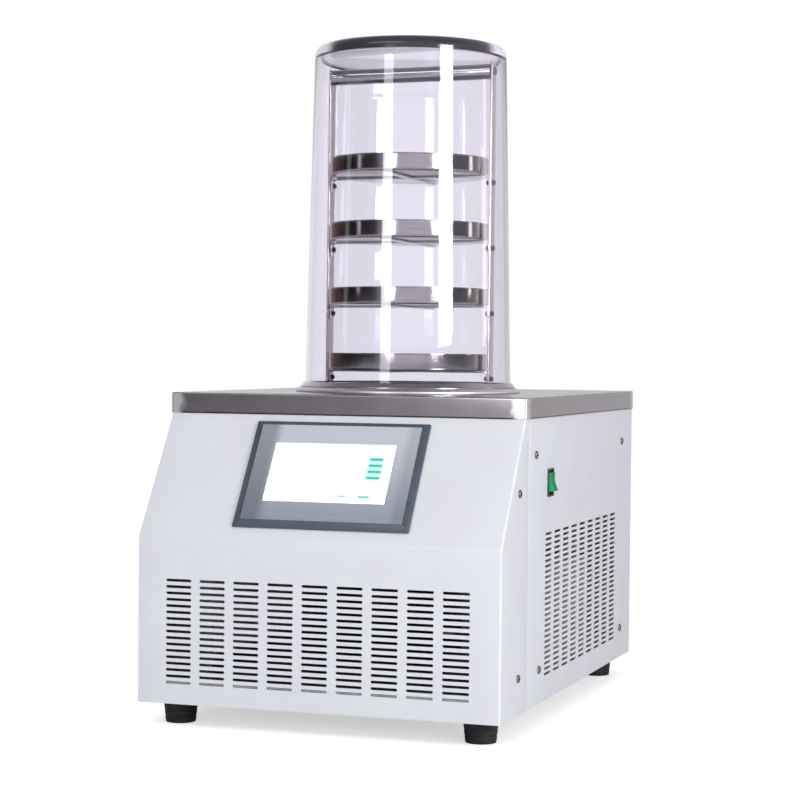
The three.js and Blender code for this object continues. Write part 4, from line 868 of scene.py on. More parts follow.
def hexagon_ring(inner_radius):
    """A hexagon drawn with evenly turned points: radius = inner radius / cos(t), t within 30 degrees."""
    t = np.linspace(0, 2 * np.pi, ROUND, endpoint=False)
    within = (t % (np.pi / 3)) - np.pi / 6
    return np.column_stack([np.cos(t), np.sin(t)]) * (inner_radius / np.cos(within))[:, None]


def pan_screw(head, height, socket, depth, shank=None):
    """A screw standing on z = 0: rim, dome, flat crown, hexagon recess and its floor."""
    dome = np.linspace(0, 1, 7)[1:] * np.pi / 2
    radii = np.r_[head - 0.3, head, head, 0.6 * head + 0.4 * head * np.cos(dome)]
    levels = np.r_[0.0, 0.25, 0.32 * height, 0.32 * height + 0.68 * height * np.sin(dome)]
    outlines = [circle(r, ROUND) for r in (*radii, socket * 1.35)] + [hexagon_ring(socket)] * 2
    levels = np.r_[levels, height, height - 0.15, height - depth]
    if shank:
        outlines, levels = [circle(shank, ROUND)] * 2 + outlines, np.r_[-8.0, 0.0, levels]
    return lofted(at_heights(outlines, levels))


screws, names = [], []
for side, axes, x in (("right", ALONG_X, cover.high[0]), ("left", ALONG_LEFT, cover.low[0])):
    for number in range(1, 7):
        names.append(f"screw_{side}_{number}")
        screws.append(placed(pan_screw(5.0, 2.35, 1.9, 1.9, 1.9), (x, *Box(names[-1]).middle[1:]), axes))
piece("cover_screws", joined(*screws), SCREW, names)

# %% Feet
def foot_form(top_radius, base_radius, height):
    """A cone with two shallow grooves, eased edges, and a stepped recess in its underside."""

    def wall(z):
        return base_radius + (top_radius - base_radius) * z / height

    corners = [(0, 7), (5, 7), (5, 2.5), (9, 2.5), (9, 0), (base_radius - 0.4, 0)]
    grooves = (1.4, 0), (7, 0), (8, 0.7), (9, 0), (14, 0), (15, 0.7), (16, 0), (height, 0.3)
    corners += [(wall(z) - dip, z) for z, dip in grooves] + [(0, height)]
    return turned(eased(corners, 0.45, 3), 72)


UPSIDE_DOWN = ((1, 0, 0), (0, -1, 0), (0, 0, -1))
names = [f"foot_{corner}" for corner in ("front_left", "front_right", "rear_left", "rear_right")]
boxes = [Box(name) for name in names]
feet = [placed(foot_form(21, 18, box.high[2]), (*box.middle[:2], 0)) for box in boxes]
fixings = [placed(pan_screw(4.6, 2.4, 1.6, 1.5), (*box.middle[:2], 7), UPSIDE_DOWN) for box in boxes]
piece("feet", joined(*feet), FOOT, names)
piece("foot_screws", joined(*fixings), SCREW)

# %% [markdown]
# ## Touch screen
# The screen's frame stands 6 mm off the sloping panel, with a broad chamfer round its rim. Inside it lies a
# printed overlay film, and the glass of the display sits a little below that. All three are drawn in the
# screen's own axes on the slope.

# %% Frame and film
SIDE_RIM, END_RIM = 7.8, 6.8
FILM_UP = 1.4  # the film sits this far above the bezel's middle, under a taller lower rim
rimmed = screen_half - (SIDE_RIM, END_RIM)
film_middle = screen_centre + FILM_UP


def stepped(half, levels, shift):
    """Rings that are rounded rectangles, from (how far inside the half size, corner radius, height)."""
    return stacked([(*(half - within), radius, z) for within, radius, z in levels], shift=shift)


outer_rim = [(0.4, 1.2, 0.3), (0, 1.4, 0.7), (0, 1.4, 2.6), (0.5, 1.1, 3.2)]
inner_rim = [(-0.5, 0.7, 5.75), (0, 0.6, 6.0), (0.5, 1.2, 5.8), (0.6, 1.2, 5.0), (0.6, 1.2, 0.3)]
rim = stepped(screen_half, outer_rim, (0, screen_centre)) + stepped(rimmed, inner_rim, (0, film_middle))
piece("screen_frame", placed(lofted(rim, closed=True), *on_slope), BEZEL, ["screen_bezel"])

display_half = np.array([151, 79]) / 2
display_at = np.array([-2.0, screen_centre + 1.5])
film = stepped(rimmed, [(0.8, 1.2, 1.0), (0.8, 1.2, 5.4), (1.1, 1.1, 5.6)], (0, film_middle))
film += stepped(display_half, [(-0.7, 1.4, 5.6), (-0.35, 1.2, 5.45), (-0.35, 1.2, 1.0)], display_at)
piece("screen_overlay", placed(lofted(film, closed=True), *on_slope), OVERLAY, sharp=12)

# %% [markdown]
# The display is lit from behind: a plain white ground with soft green bars down its right side and along
# its foot, in place of writing. They are painted in the finish, because they have no thickness.

# %% Display
GLASS_TOP = 5.15
DISPLAY = new_finish("backlit_display", "display_glass", Roughness=0.12, IOR=1.5, Emission_Strength=0.5)
tree, shader = inside(DISPLAY)
display_x, _, display_z = place_on_piece(tree)


def soft_patch(share_x, share_y, half_width, half_height, blur):
    """1 inside a rectangle and 0 outside: the product, for X and Z, of a smooth step down from 1 to 0 at
    the half size, spread over the blur. Its middle is at those shares of the display across and down."""
    across, up = display_at + (np.array([share_x, 1 - share_y]) - 0.5) * 2 * display_half
    patch_x, patch_z = screen.middle[0] + across, slope_top + up * slope[1] + GLASS_TOP * slope[0]
    share = 1.0
    for place, middle, half in ((display_x, patch_x, half_width), (display_z, patch_z, half_height)):
        away = add_node(tree, "Math", [place, middle * MM], operation="SUBTRACT")
        away = add_node(tree, "Math", [away], operation="ABSOLUTE")
        ends = (half - blur / 2) * MM, (half + blur / 2) * MM
        step = add_node(tree, "MapRange", [away, *ends, 1, 0], **SMOOTH)
        share = add_node(tree, "Math", [share, step], operation="MULTIPLY")
    return share


patches = [((0.8625, 0.4075, 11, 14, 7), "#B4F3EA")]
patches += [((0.8625, down, 8.5, 1.6, 4), "#1D8575") for down in (0.25, 0.355, 0.46, 0.565)]
patches += [((0.645, 0.89, 5, 1.6, 4), "#55A898"), ((0.82, 0.89, 7.5, 1.6, 4), "#469C8B")]
picture = add_node(tree, "Mix", {0: spotted(tree, 70, detail=0), 6: "#F4FBF9", 7: "#FDFFFE"}, **COLOURS)
for patch, colour in patches:
    picture = add_node(tree, "Mix", {0: soft_patch(*patch), 6: picture, 7: colour}, **COLOURS)
fill(shader, {"Base Color": picture, "Emission Color": picture})

glass = stepped(display_half, [(-0.3, 1.1, 2.0), (-0.3, 1.1, 4.9), (0.1, 0.9, GLASS_TOP)], display_at)
piece("screen_glass", placed(lofted(glass), *on_slope), DISPLAY, ["screen_display"])

# %% [markdown]
# ## Mains switch
# The housing snaps into the right panel: a rimmed frame round a well, and a body behind the sheet. The
# rocker is a bar of translucent green with two hollow pads, rocked to one side. It rides on its own body.

# %% Mains switch
housing = [(10.2, 14.7, 1.0, -24), (10.2, 14.7, 1.0, 0.3), (12.3, 16.8, 1.6, 0.3), (12.5, 17, 1.8, 0.6)]
housing += [(12.5, 17, 1.8, 1.4), (12.1, 16.6, 1.5, 1.95), (10.9, 15.4, 1.0, 2.0), (10.3, 14.9, 0.8, 1.7)]
housing += [(10.0, 14.6, 0.6, 1.2), (10.0, 14.6, 0.6, -6.3)]
piece("switch_frame", placed(lofted(stacked(housing)), at_switch, ALONG_X), BLACK, ["switch_housing"])

TILT = math.radians(11)
pads = [(11.5, 6.3), (10.2, -3), (0, -6), (-10.2, -3), (-11.5, 6.3)]
pads += [(-9, 5.3), (-4, 4.3), (0, 4), (4, 4.3), (9, 5.3)]
rocked = ((-math.sin(TILT), 0, math.cos(TILT)), (math.cos(TILT), 0, math.sin(TILT)), (0, 1, 0))
bar = placed(extruded(eased(pads, 0.8, 3, True), -9.7, 9.7, 0.25), at_switch, rocked)
piece("switch_rocker_form", bar, GREEN, ["switch_rocker"], body="power_rocker")

# %% [markdown]
# ## Seal, gasket and bell jar
# The steel ring slopes outwards from the seat. The gasket is a rubber ring with a seat under the jar's
# rim, inside a turned steel collar. The jar is turned from cast acrylic: a slightly tapered wall 6 mm thick
# and a flat crown of 15 mm with a rounded outer edge. It is one closed surface, inside and out, because
# light bends at both faces of the wall.

# %% Seal ring and gasket
ring, gasket, jar = Box("seal_ring"), Box("seal_gasket"), Box("bell_jar")
AXIS = (*axis, 0)


def turned_ring(name, corners, ease, finish, instead_of=()):
    """A ring about the chamber's axis, with its corners eased. The last one meets the first."""
    profile = eased(corners + corners[:1], ease, 3)
    return piece(name, placed(turned(profile, 144), AXIS), finish, instead_of)


bore, low, top = mouth - 1.5, ring.low[2], ring.high[2]
corners = [(bore, low), (ring.half[0], low), (ring.half[0], low + 2.5), (gasket.half[0], top), (bore, top)]
turned_ring("seal_ring_form", corners, 0.6, SATIN, ["seal_ring"])

jar_r, low, top, jar_foot = jar.half[0], gasket.low[2], gasket.high[2], jar.low[2]
corners = [(jar_r - 11, low), (jar_r + 1.2, low), (jar_r + 1.2, jar_foot + 1), (jar_r + 0.3, jar_foot + 1)]
corners += [(jar_r + 0.3, jar_foot - 0.3), (jar_r - 11, jar_foot - 0.3)]
turned_ring("gasket_form", corners, 0.4, NITRILE, ["seal_gasket"])
corners = [(jar_r + 1.5, low), (gasket.half[0], low), (gasket.half[0], low + 0.7), (jar_r + 2.2, top)]
corners += [(jar_r + 0.5, top), (jar_r + 0.5, top - 0.9), (jar_r + 1.5, top - 1.2)]
turned_ring("gasket_collar", corners, 0.3, POLISHED)

# %% Bell jar
TAPER, WALL, CROWN, SHOULDER = 9.0, 6.0, 15.0, 12.0
jar_top, jar_upper, inner_top = jar.high[2], jar_r - TAPER, jar.high[2] - CROWN
rise = np.linspace(0, 1, 9)[:, None]
outside = np.array([jar_r, jar_foot + 0.6]) * (1 - rise) + np.array([jar_upper, inner_top]) * rise
turn = np.linspace(0, np.pi / 2, 13)
shoulder = SHOULDER * np.column_stack([np.cos(turn), np.sin(turn)])
shoulder += (jar_upper - SHOULDER, jar_top - SHOULDER)
hollow = eased([(0, inner_top), (jar_upper - WALL, inner_top), (jar_r - WALL, jar_foot + 0.6)], 3.0, 8)
seat = [(jar_r - WALL + 0.6, jar_foot), (jar_r - 0.6, jar_foot)]
profile = np.concatenate([seat, outside, shoulder, [(0, jar_top)], hollow, seat[:1]])
jar_form = piece("bell_jar_form", placed(turned(profile, 192), AXIS), ACRYLIC, ["bell_jar"], sharp=25)


def on_crown_edge(at):
    """Above the crown's underside, and outside the middle of the shoulder's curve."""
    return (at[:, 2] > inner_top + 0.5) & (np.hypot(*(at[:, :2] - axis).T) > jar_upper - SHOULDER * 0.7)


also_finished(jar_form, ACRYLIC_EDGE_REFLECTION, on_crown_edge)

# %% [markdown]
# ## Tray rack
# Two flat stainless posts stand on the seal ring and carry everything: a bright round handle across the
# top, and four bent crosses, each bolted to both posts under its tray. A tray is spun from thin sheet, with
# a rounded floor edge and a rim hemmed over a wire. A cross is a strip carried along a bent path, with its
# tabs turned down over a small radius.

# %% Trays
tray_radius, tray_height = Box("tray_1").half[0], 2 * Box("tray_1").half[2]
tray_floors = [Box(f"tray_{number}").low[2] for number in range(1, 5)]


def tray_form(floor_z):
    """Floor, rounded edge and wall, over a rim that is a curl of 0.9 mm, and back down inside."""
    wall, curl = tray_radius - 0.5, np.linspace(0, np.pi, 5) - 0.3
    outer = eased([(0, 0), (wall, 0), (wall, tray_height - 1.6)], 3.2, 6)
    bead = 0.9 * np.column_stack([np.cos(curl), np.sin(curl)]) + (wall - 0.4, tray_height - 0.9)
    inner = eased([(wall - 1.2, tray_height - 1.6), (wall - 1.2, 1.2), (0, 1.2)], 2.4, 6)
    profile = np.concatenate([outer, bead, inner])
    profile[:, 0] = np.minimum(profile[:, 0], tray_radius)
    return turned(profile + (0, floor_z), 144)


for number, floor_z in enumerate(tray_floors, 1):
    piece(f"tray_{number}_form", placed(tray_form(floor_z), AXIS), MOPPED, [f"tray_{number}"])

# %% Posts and handle
BOTH_WAYS = (1, ALONG_X), (-1, ALONG_LEFT)
post, handle = Box("rack_post_right"), Box("rack_handle")
post_x = post.middle[0] - axis[0]
a, b = post.half[:2]
ends = [(a - 0.3, b - 0.3, 0.5, post.low[2]), (a, b, 0.6, post.low[2] + 0.4)]
ends += [(a, b, 0.6, post.high[2] - 0.4), (a - 0.3, b - 0.3, 0.5, post.high[2])]
posts = [placed(lofted(stacked(ends)), (axis[0] + side * post_x, axis[1], 0)) for side in (-1, 1)]
piece("rack_posts", joined(*posts), MOPPED, ["rack_post_left", "rack_post_right"])

reach, r = handle.half[0], handle.half[2]
handle_z = handle.high[2] - r
bar = [(0, -reach), (r - 1, -reach), (r, -reach + 1), (r, -reach + 8), (r, 0)]
bar += [(r, reach - 8), (r, reach - 1), (r - 1, reach), (0, reach)]
piece("rack_handle_bar", placed(turned(bar, 64), (*axis, handle_z), ALONG_X), POLISHED, ["rack_handle"])
head = pan_screw(5.5, 2.4, 2.0, 1.6)
heads = [placed(head, (axis[0] + side * (post_x + a), axis[1], handle_z), way) for side, way in BOTH_WAYS]
piece("rack_handle_screws", joined(*heads), SCREW)

# %% Crosses with their bolts
def hex_nut(half_flat, low, high):
    """A hexagon with its corners turned off: a ring of the hexagon between two smaller round ones."""
    hexagon, small = hexagon_ring(half_flat), circle(half_flat * 0.94, ROUND)
    return lofted(at_heights([small, hexagon, hexagon, small], [low, low + 0.5, high - 0.5, high]))


def cross_form(underside):
    """A strip of 12 by 2 mm from tab to tab, a second strip across it, and a bolt and nuts at each tab."""
    arm, front = post.low[0] - axis[0] - 1.4, tray_radius - 8.7
    path = eased([(-arm, 0, -17), (-arm, 0, -1), (arm, 0, -1), (arm, 0, -17)], 2.6, 6)
    path = np.insert(path, [len(path) // 2], [[0, 0, -1]], 0)
    across = np.array([(0, -front, -1.15), (0, 0, -1.15), (0, front, -1.15)])
    section, up = rounded_outline(6, 1, 0.35, 2), (0, 0, underside)
    strips = swept(path + up, section, (0, 1, 0)), swept(across + up, section * (1, 0.8), (1, 0, 0))
    face = post.high[0] - axis[0] - arm
    thread = [(0, -5), (1.4, -5), (1.8, -4.5), (1.8, face + 2.5), (1.4, face + 3), (0, face + 3)]
    bolt = joined(turned(thread, 24), hex_nut(3.1, -4, -1), hex_nut(3.1, face, face + 2.4))
    bolts = [placed(bolt, (side * arm, 0, underside - 9.5), way) for side, way in BOTH_WAYS]
    return placed(joined(*strips), AXIS), placed(joined(*bolts), AXIS)


for number, floor_z in enumerate(tray_floors, 1):
    strips, bolts = cross_form(floor_z - 0.3)
    piece(f"tray_cross_{number}", strips, MOPPED, [f"tray_support_{number}"])
    piece(f"tray_bolts_{number}", bolts, SCREW)

# %% [markdown]
# ## Cold trap
# The trap is a deep-drawn stainless can with a rolled rim, a bore in its wall for the vacuum pipe and a
# small drain in its floor. The evaporator coil is one copper tube: five turns climb at 18 mm a turn, and
# the return leg drops down inside them. Its route is written as it is bent, straights and all.

# %% Trap and coil
refined("trap_vessel", POLISHED, 0.3)
coil = Box("trap_coil")
TUBE, TURNS, CLIMB = 4.5, 5, 18
coil_r, tail_z = coil.half[0] - TUBE, coil.low[2]
coil_top = coil.high[2] - 2 * TUBE
coil_base = coil_top - TURNS * CLIMB
turns = np.linspace(0, TURNS, TURNS * 48 + 1)
angle = np.pi + 2 * np.pi * turns
helix = np.column_stack([coil_r * np.cos(angle), coil_r * np.sin(angle), coil_base + CLIMB * turns])
leg_x = 22 - coil_r
start = eased([(-coil_r, 0, tail_z), (-coil_r, 0, coil_base - 6), helix[2]], 5, 6)
leg = [helix[-2], (-coil_r + 2, -6, coil_top + 0.5), (leg_x - 1, -4, coil_top), (leg_x, 0, tail_z)]
route = np.concatenate([start[:-1], helix[2:-2], eased(leg, 6, 8)])
piece("evaporator_coil", placed(swept(route, circle(TUBE, 16)), AXIS), COPPER, ["trap_coil"])

# %% [markdown]
# ## Rear fittings
# The vacuum pipe leaves the trap and ends in a small flange with a tapered back, for a clamp and a
# centring ring. Below it the drain runs out to a ball valve with a barbed spout. The appliance inlet has a
# rounded flange, a keyed well and three flat pins.

# %% Vacuum pipe and drain
pipe_end, pipe_start = pipe.high[1], pipe.low[1] + 3
flange = [(12.5, pipe_start), (14, pipe_start), (14, pipe_end - 5.6), (20, pipe_end - 3.4), (20, pipe_end)]
flange += [(14.2, pipe_end), (13.2, pipe_end - 1.8), (12.5, pipe_end - 1.8), (12.5, pipe_start)]
flange = placed(turned(eased(flange, 0.5, 3), 72), (axis[0], 0, pipe.middle[2]), ALONG_Y)
piece("vacuum_pipe_form", flange, POLISHED, ["vacuum_pipe"])

drain = Box("drain_pipe")
bend = eased([(0, axis[1], drain.high[2]), (0, axis[1], drain_z), (0, drain.high[1], drain_z)], 14, 10)
bend = np.insert(bend, -1, [0, 150, drain_z], 0) + (axis[0], 0, 0)
piece("drain_pipe_form", swept(bend, circle(6, 24)), POLISHED, ["drain_pipe"])

valve_front = Box("drain_valve").low[1]
valve_rear = valve_front + 26
valve_middle = (valve_front + valve_rear) / 2
spout = [(4, -6), (5, -6), (5, 0), (5, 1.5), (6, 1.5), (5.2, 4), (6, 4), (5.2, 6.5), (6, 6.5)]
spout = np.array(spout + [(5, 9.5), (4.4, 10), (4, 10), (4, -6)]) + (0, valve_rear)
stem = [(0, 6), (3.5, 6), (3.5, 12), (4.8, 12.3), (4.8, 14), (3.4, 14.4), (3.4, 17.6), (3.0, 18), (0, 18)]
valve = joined(hex_nut(9.5, valve_front, valve_rear), turned(spout, 48))
valve = placed(valve, (axis[0], 0, drain_z), ALONG_Y)
stem = placed(turned(stem, 32), (axis[0], valve_middle, drain_z))
piece("drain_valve_form", joined(valve, stem), POLISHED, ["drain_valve"])

grip = [(-6, -5.2), (10, -4), (30, -4.5), (46, -4.5), (46, 4.5), (30, 4.5), (10, 4), (-6, 5.2)]
grip = extruded(eased(grip, [5, 6, 9, 4.4, 4.4, 9, 6, 5], 5, True), lever.low[2], lever.high[2] - 0.2, 0.7)
grip = placed(grip, (axis[0], valve_middle, 0))
piece("drain_lever_form", grip, GREEN, ["drain_lever"], body="drain_lever")

# %% Mains inlet
inlet_at = (inlet.middle[0], rear_y, inlet.middle[2])
flange = stacked([(23.6, 13.6, 3, 0.3), (24, 14, 3.2, 0.8), (24, 14, 3.2, 2.6), (23.3, 13.3, 2.8, 3.3)])
well = stacked([(12.6, 7.6, 2.2, 3.3), (12, 7, 2.0, 2.8), (12, 7, 2.0, -13.7)])
housing = lofted(stacked([(19.5, 11, 2, -23.5), (19.5, 11, 2, 0.3)]), caps=(True, False))
housing = placed(joined(lofted(flange + well, caps=(False, True)), housing), inlet_at, FROM_BEHIND)
piece("mains_inlet_form", housing, BLACK, ["mains_inlet"])
pin = rounded_outline(1, 2.2, 0.4, 2)
pins = [extruded(pin + at, -13.6, -0.5, 0.4) for at in ((-7, -1.6), (0, 1.8), (7, -1.6))]
piece("mains_inlet_pins", placed(joined(*pins), inlet_at, FROM_BEHIND), SCREW)

# %% [markdown]
# ## Inside the cabinet
# The slots show a little of the refrigeration: the condenser's fins and copper tubes, the fan in its
# shroud and the black compressor. Fins 0.4 mm thick stand 2.8 mm apart, and two rows of copper tube run
# through them from one end plate to the other. The rest keeps its CAD form with broken edges.

# %% Condenser
condenser = Box("condenser")
FIN_PITCH, END_GAP = 2.8, 4
(mid_x, mid_y, mid_z), (half_x, half_y, half_z) = condenser.middle, condenser.half
near, far = condenser.low[1], condenser.high[1]
count = int((far - near - 2 * END_GAP) // FIN_PITCH)
fin_y = near + END_GAP + FIN_PITCH * (np.arange(count) + 0.5)
fin = lofted(stacked([(half_x - 1, half_z - 5, 0.5, -0.2), (half_x - 1, half_z - 5, 0.5, 0.2)], steps=1))
fins = [placed(fin, (mid_x, y, mid_z), FROM_BEHIND) for y in fin_y]
piece("condenser_fins", joined(*fins), FIN, ["condenser"])

plate = lofted(stacked([(half_x - 0.2, half_z - 0.2, 1.5, -0.8), (half_x - 0.2, half_z - 0.2, 1.5, 0.8)]))
plates = [placed(plate, (mid_x, y, mid_z), FROM_BEHIND) for y in (near + 1.2, far - 1.2)]
piece("condenser_end_plates", joined(*plates), ZINC)

rows = [(x, z) for x in (mid_x - 11, mid_x + 11) for z in mid_z + (np.arange(6) - 2.5) * 24]
tubes = [swept([(x, near + 0.6, z), (x, mid_y, z), (x, far - 0.6, z)], circle(4, 10)) for x, z in rows]
piece("condenser_tubes", joined(*tubes), COPPER)

# %% Fan
hub = [(0, -7.5), (16, -7.5), (20, -4), (20, 6.5), (18.5, 7.5), (8, 7.5), (7, 6.5), (0, 6.5)]
fan_at = Box("fan_rotor").middle
hub = placed(turned(eased(hub, 1, 3), 48), fan_at, ALONG_X)
BLADES, BLADE_ROOT, BLADE_LENGTH, BLADE_THICKNESS = 5, 18, 43.5, 1.6


def fan_blade(lead):
    """A blade at that angle. At radius r it spans r times its angle, pitched by an angle p: a share c of
    its half width goes round by c cos p / r and forwards by 0.62 c sin p, plus a camber of 1 - c squared."""
    span = np.linspace(0, 1, 9)
    r, c = np.meshgrid(BLADE_ROOT + span * BLADE_LENGTH, np.linspace(-1, 1, 9), indexing="ij")
    half = r * np.radians(26 + 8 * np.sin(np.pi * span))[:, None] / 2
    pitch = np.radians(38 - 12 * span)[:, None]
    forwards = c * half * np.sin(pitch) * 0.62 + 1.2 * (1 - c**2)
    turn = lead + c * half * np.cos(pitch) / r
    face = np.stack([forwards, r * np.cos(turn), r * np.sin(turn)], -1) + fan_at
    back = face - (BLADE_THICKNESS, 0, 0)
    return lofted(np.concatenate([face, back[:, ::-1]], 1)[:, ::-1])


blades = [fan_blade(2 * np.pi * number / BLADES) for number in range(BLADES)]
piece("fan_rotor_form", joined(hub, *blades), FAN, ["fan_rotor"], body="fan")

# %% Compressor and the rest
pan_z = compressor.low[2]
at = (*compressor.middle[:2], 0)
pot = [(0, 0), (40, 1), (60, 8), (66, 20), (67.6, 52), (68, 56), (68, 60), (67.6, 64)]
pot = turned(eased(pot + [(65, 100), (56, 120), (36, 131), (0, 134)], 6, 5) + (0, pan_z + 10), 72)
base = extruded(rounded_outline(68, 47.5, 12), pan_z + 5, pan_z + 13, 0.6)
piece("compressor_shell", placed(joined(pot, base), at), ENAMEL, ["compressor"])
grommet = [(0, 0), (9.5, 0), (9.5, 2.5), (7.5, 3.5), (7.5, 7), (9.5, 8), (9.5, 10), (0, 10)]
grommet = turned(eased(grommet, 0.6, 2), 24)
legs = [placed(grommet, (x, y, pan_z)) for x in (-57, 57) for y in (-37, 37)]
piece("compressor_grommets", placed(joined(*legs), at), FOOT)

for finish, bevels in (
    (ZINC, {"base_pan": 0.4, "frame_post_left": 0.3, "frame_post_right": 0.3}),
    (FOAM, {"trap_insulation": 1.5}),
    (ENAMEL, {"fan_shroud": 0.8, "fan_motor": 1.5}),
    (ZINC, {"control_box": 1.0}),
    (COPPER, {"filter_drier": 0.6, "suction_line": 0, "discharge_line": 0, "liquid_line": 0}),
):
    for node, bevel in bevels.items():
        refined(node, finish, bevel)
print(len(made), "pieces,", sum(made.values()), "faces")

# %% [markdown]
# ## Stage, light and camera
# The machine stands on a plain pale floor. The world is white to the camera. To metal and to the jar's
# surface it is a room that is white behind the machine and darker at the camera's side and overhead,
# because polished metal is only as legible as the dark shapes it reflects. Steel inside the jar sees a
# darker room than steel outside, with two bright bands. Matt surfaces get a plain fill, stronger from above.

# %% Floor
PALE = new_finish(
    "pale_floor", "floor", Base_Color="#F2F2F4", Roughness=0.9, Specular_IOR_Level=0.2, Emission_Color=WHITE
)
tree, shader = inside(PALE)
to_camera = add_node(tree, "LightPath", out="Is Camera Ray")
fill(shader, {"Emission Strength": add_node(tree, "Math", [to_camera, 0.55], operation="MULTIPLY")})
corners = np.column_stack([SQUARE * 6, np.zeros(4)]) / MM
floor = new_object("floor", mesh_of("floor", (corners, [np.arange(4)[None]])))
floor.data.materials.append(PALE[0])

# %% World
# The room's walls, by the angle from the front towards the right: as the steel inside the jar sees
# them, and as the worktop and the jar's own surface do.
INSIDE = [
    (-150, WHITE), (-128, "#8A766A"), (-100, "#4A3B35"), (-75, "#0E0C0D"), (-45, "#0E0D0D"), (-30, "#2A282A"),
    (-12, "#EAE8F2"), (35, "#F4F2FA"), (58, "#CCCAD4"), (76, "#4A474C"), (100, "#151314"), (124, "#7A6D62"),
    (140, "#EDE6DD"),
]
OUTSIDE = [
    (-150, WHITE), (-120, "#D9D6DC"), (-78, "#4A484C"), (-42, "#4A474C"), (-25, "#7E7B81"), (-20, "#A4A1A8"),
    (-14, "#C6C4CC"), (0, "#DEDCE4"), (90, "#DCD9DE"), (135, "#C5C1C6"), (170, "#CDC9CD"),
]
world = bpy.data.worlds.new("studio")
bpy.context.scene.world = world
world.use_nodes = True
tree = world.node_tree
way = add_node(tree, "TexCoord", out="Generated")
x, y, z = add_node(tree, "SeparateXYZ", [way]).node.outputs
path = add_node(tree, "LightPath").node.outputs

# The walls by the angle round, a dark ceiling, and glass that shows white with the ceiling's shadow.
share = add_node(tree, "TexGradient", [way], "Fac", gradient_type="RADIAL")
stops = [sorted(((angle / 360 + 0.25) % 1, colour) for angle, colour in walls) for walls in (OUTSIDE, INSIDE)]
worktop_sees, steel_sees = (add_node(tree, "ValToRGB", [share], stops=walls) for walls in stops)
within = add_node(tree, "Math", [path["Transmission Depth"], 2.5], operation="GREATER_THAN")
wall = add_node(tree, "Mix", {0: within, 6: worktop_sees, 7: steel_sees}, **COLOURS)
overhead = add_node(tree, "MapRange", [z, 0.3, 0.75], **SMOOTH)
backwards = add_node(tree, "MapRange", [y, 0, 0.5], **SMOOTH)
ceiling = add_node(tree, "Mix", {0: backwards, 6: "#85828A", 7: "#C4C0CA"}, **COLOURS)
room = add_node(tree, "Mix", {0: overhead, 6: wall, 7: ceiling}, **COLOURS)
through = add_node(tree, "Mix", {0: overhead, 6: WHITE, 7: "#4E4B4A"}, **COLOURS)
even = add_node(tree, "MapRange", [z, -0.2, 1, 0.26, 0.69])

# Which of them a ray gets: the camera white, then one through glass, off metal, and off a matt surface.
lit = add_node(tree, "Mix", {0: path["Is Transmission Ray"], 6: WHITE, 7: through}, **COLOURS)
for depth, light in (("Glossy Depth", room), ("Diffuse Depth", even)):
    deeper = add_node(tree, "Math", [path[depth], 0.5], operation="GREATER_THAN")
    lit = add_node(tree, "Mix", {0: deeper, 6: lit, 7: light}, **COLOURS)
fill(tree.nodes["Background"], [lit, 1.0])
print(len(tree.nodes), "nodes in the world")

# %% [markdown]
# Tall soft boxes left and right of the camera light the machine and lay long bright lines down the jar.
# Beside them are lamps that only make highlights, at the jar's edges and low on the steel. The last is a
# small strong flash that makes none: it shines through the slots on the fins and the copper.

# %% Lamps
AIM = Vector((*axis * MM, 0.5))


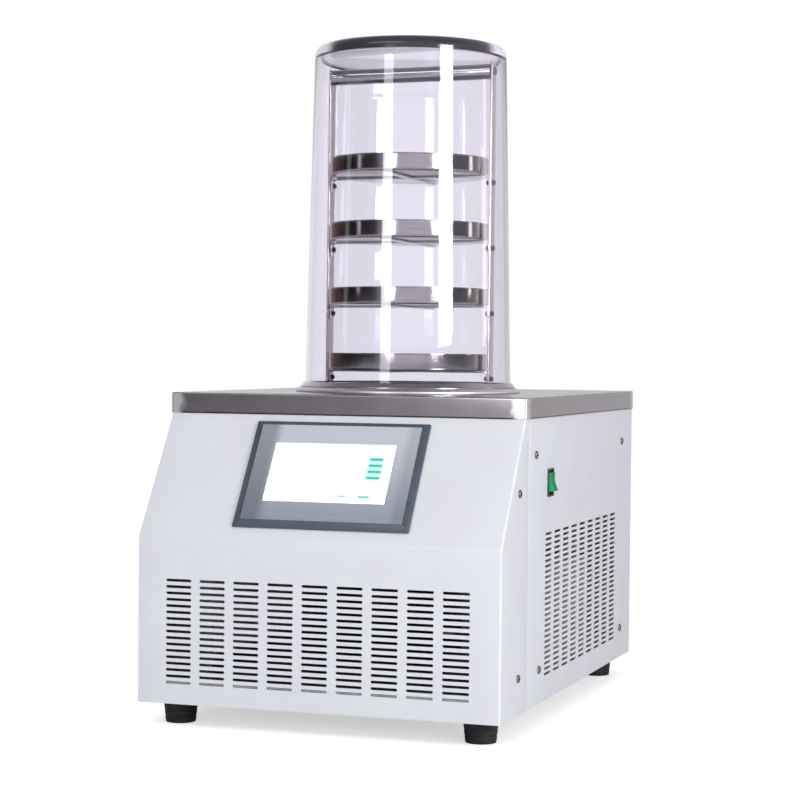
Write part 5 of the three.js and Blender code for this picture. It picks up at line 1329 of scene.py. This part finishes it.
def soft_box(name, azimuth, distance, height, size, radiance, diffuse=True, glossy=True):
    """An area lamp at that azimuth from the front, turned to the machine. Its power is its radiance times
    pi times its area. An upright one hangs level; one overhead is tilted down. Diffuse and glossy say
    whether it lights matt surfaces and whether it shows as a highlight."""
    a = math.radians(azimuth)
    lamp = bpy.data.lights.new(name, "AREA")
    lamp.shape, lamp.size, lamp.size_y = "RECTANGLE", *size
    lamp.energy = radiance * math.pi * size[0] * size[1]
    obj = new_object(name, lamp)
    obj.location = AIM.x + math.sin(a) * distance, AIM.y - math.cos(a) * distance, height
    level = height if height < 1.2 else AIM.z
    obj.rotation_euler = (Vector((AIM.x, AIM.y, level)) - obj.location).to_track_quat("-Z", "Y").to_euler()
    obj.visible_camera, obj.visible_diffuse = False, diffuse
    obj.visible_glossy = obj.visible_transmission = glossy
    print(name, round(lamp.energy, 1), "W")


soft_box("right_soft_box", 60.4, 2.5, 0.99, (0.71, 0.82), 11.5)
soft_box("right_highlight", 60.4, 2.49, 0.99, (0.66, 0.80), 14.0, diffuse=False)
soft_box("left_soft_box", -6.6, 2.5, 0.875, (0.48, 0.65), 8.0)
soft_box("left_edge_strip", -56.4, 2.5, 0.85, (0.18, 0.6), 1.4, diffuse=False)
soft_box("right_edge_strip", 114.3, 2.5, 0.85, (0.24, 0.6), 3.0, diffuse=False)
soft_box("overhead_strip", -12, 2.0, 1.9, (1.6, 0.35), 4.0)
soft_box("left_low_highlight", -6.6, 2.5, 0.475, (0.48, 0.15), 3.4, diffuse=False)
soft_box("right_low_spot", 56.0, 2.5, 0.425, (0.4, 0.08), 3.0, diffuse=False)
soft_box("flash", 45.0, 2.6, 0.46, (0.12, 0.12), 165.0, glossy=False)

# %% [markdown]
# The camera stands a little above the machine's middle, 2.7 m away and 19 degrees round to its right, with
# a long lens, so that uprights stay almost parallel.

# %% Camera
azimuth, elevation, roll = math.radians(18.805), math.radians(1.330), math.radians(0.551)
target, distance = Vector((13.84, -98.0, 385.3)) * MM, 2.7062
level = math.cos(elevation)
back = Vector((math.sin(azimuth) * level, -math.cos(azimuth) * level, math.sin(elevation)))
side = (-back).cross(Vector((0, 0, 1))).normalized()
upward = side.cross(-back)
rolled_side = math.cos(roll) * side + math.sin(roll) * upward
rolled_up = -math.sin(roll) * side + math.cos(roll) * upward
stand = Matrix((rolled_side, rolled_up, back)).transposed().to_4x4()
stand.translation = target + distance * back
lens = bpy.data.cameras.new("camera")
lens.lens, lens.sensor_width = 96.88, 36
camera = new_object("camera", lens)
camera.matrix_world = stand
bpy.context.scene.camera = camera
bpy.context.scene.view_settings.view_transform = "Standard"
print("camera at", [round(x, 3) for x in stand.translation])
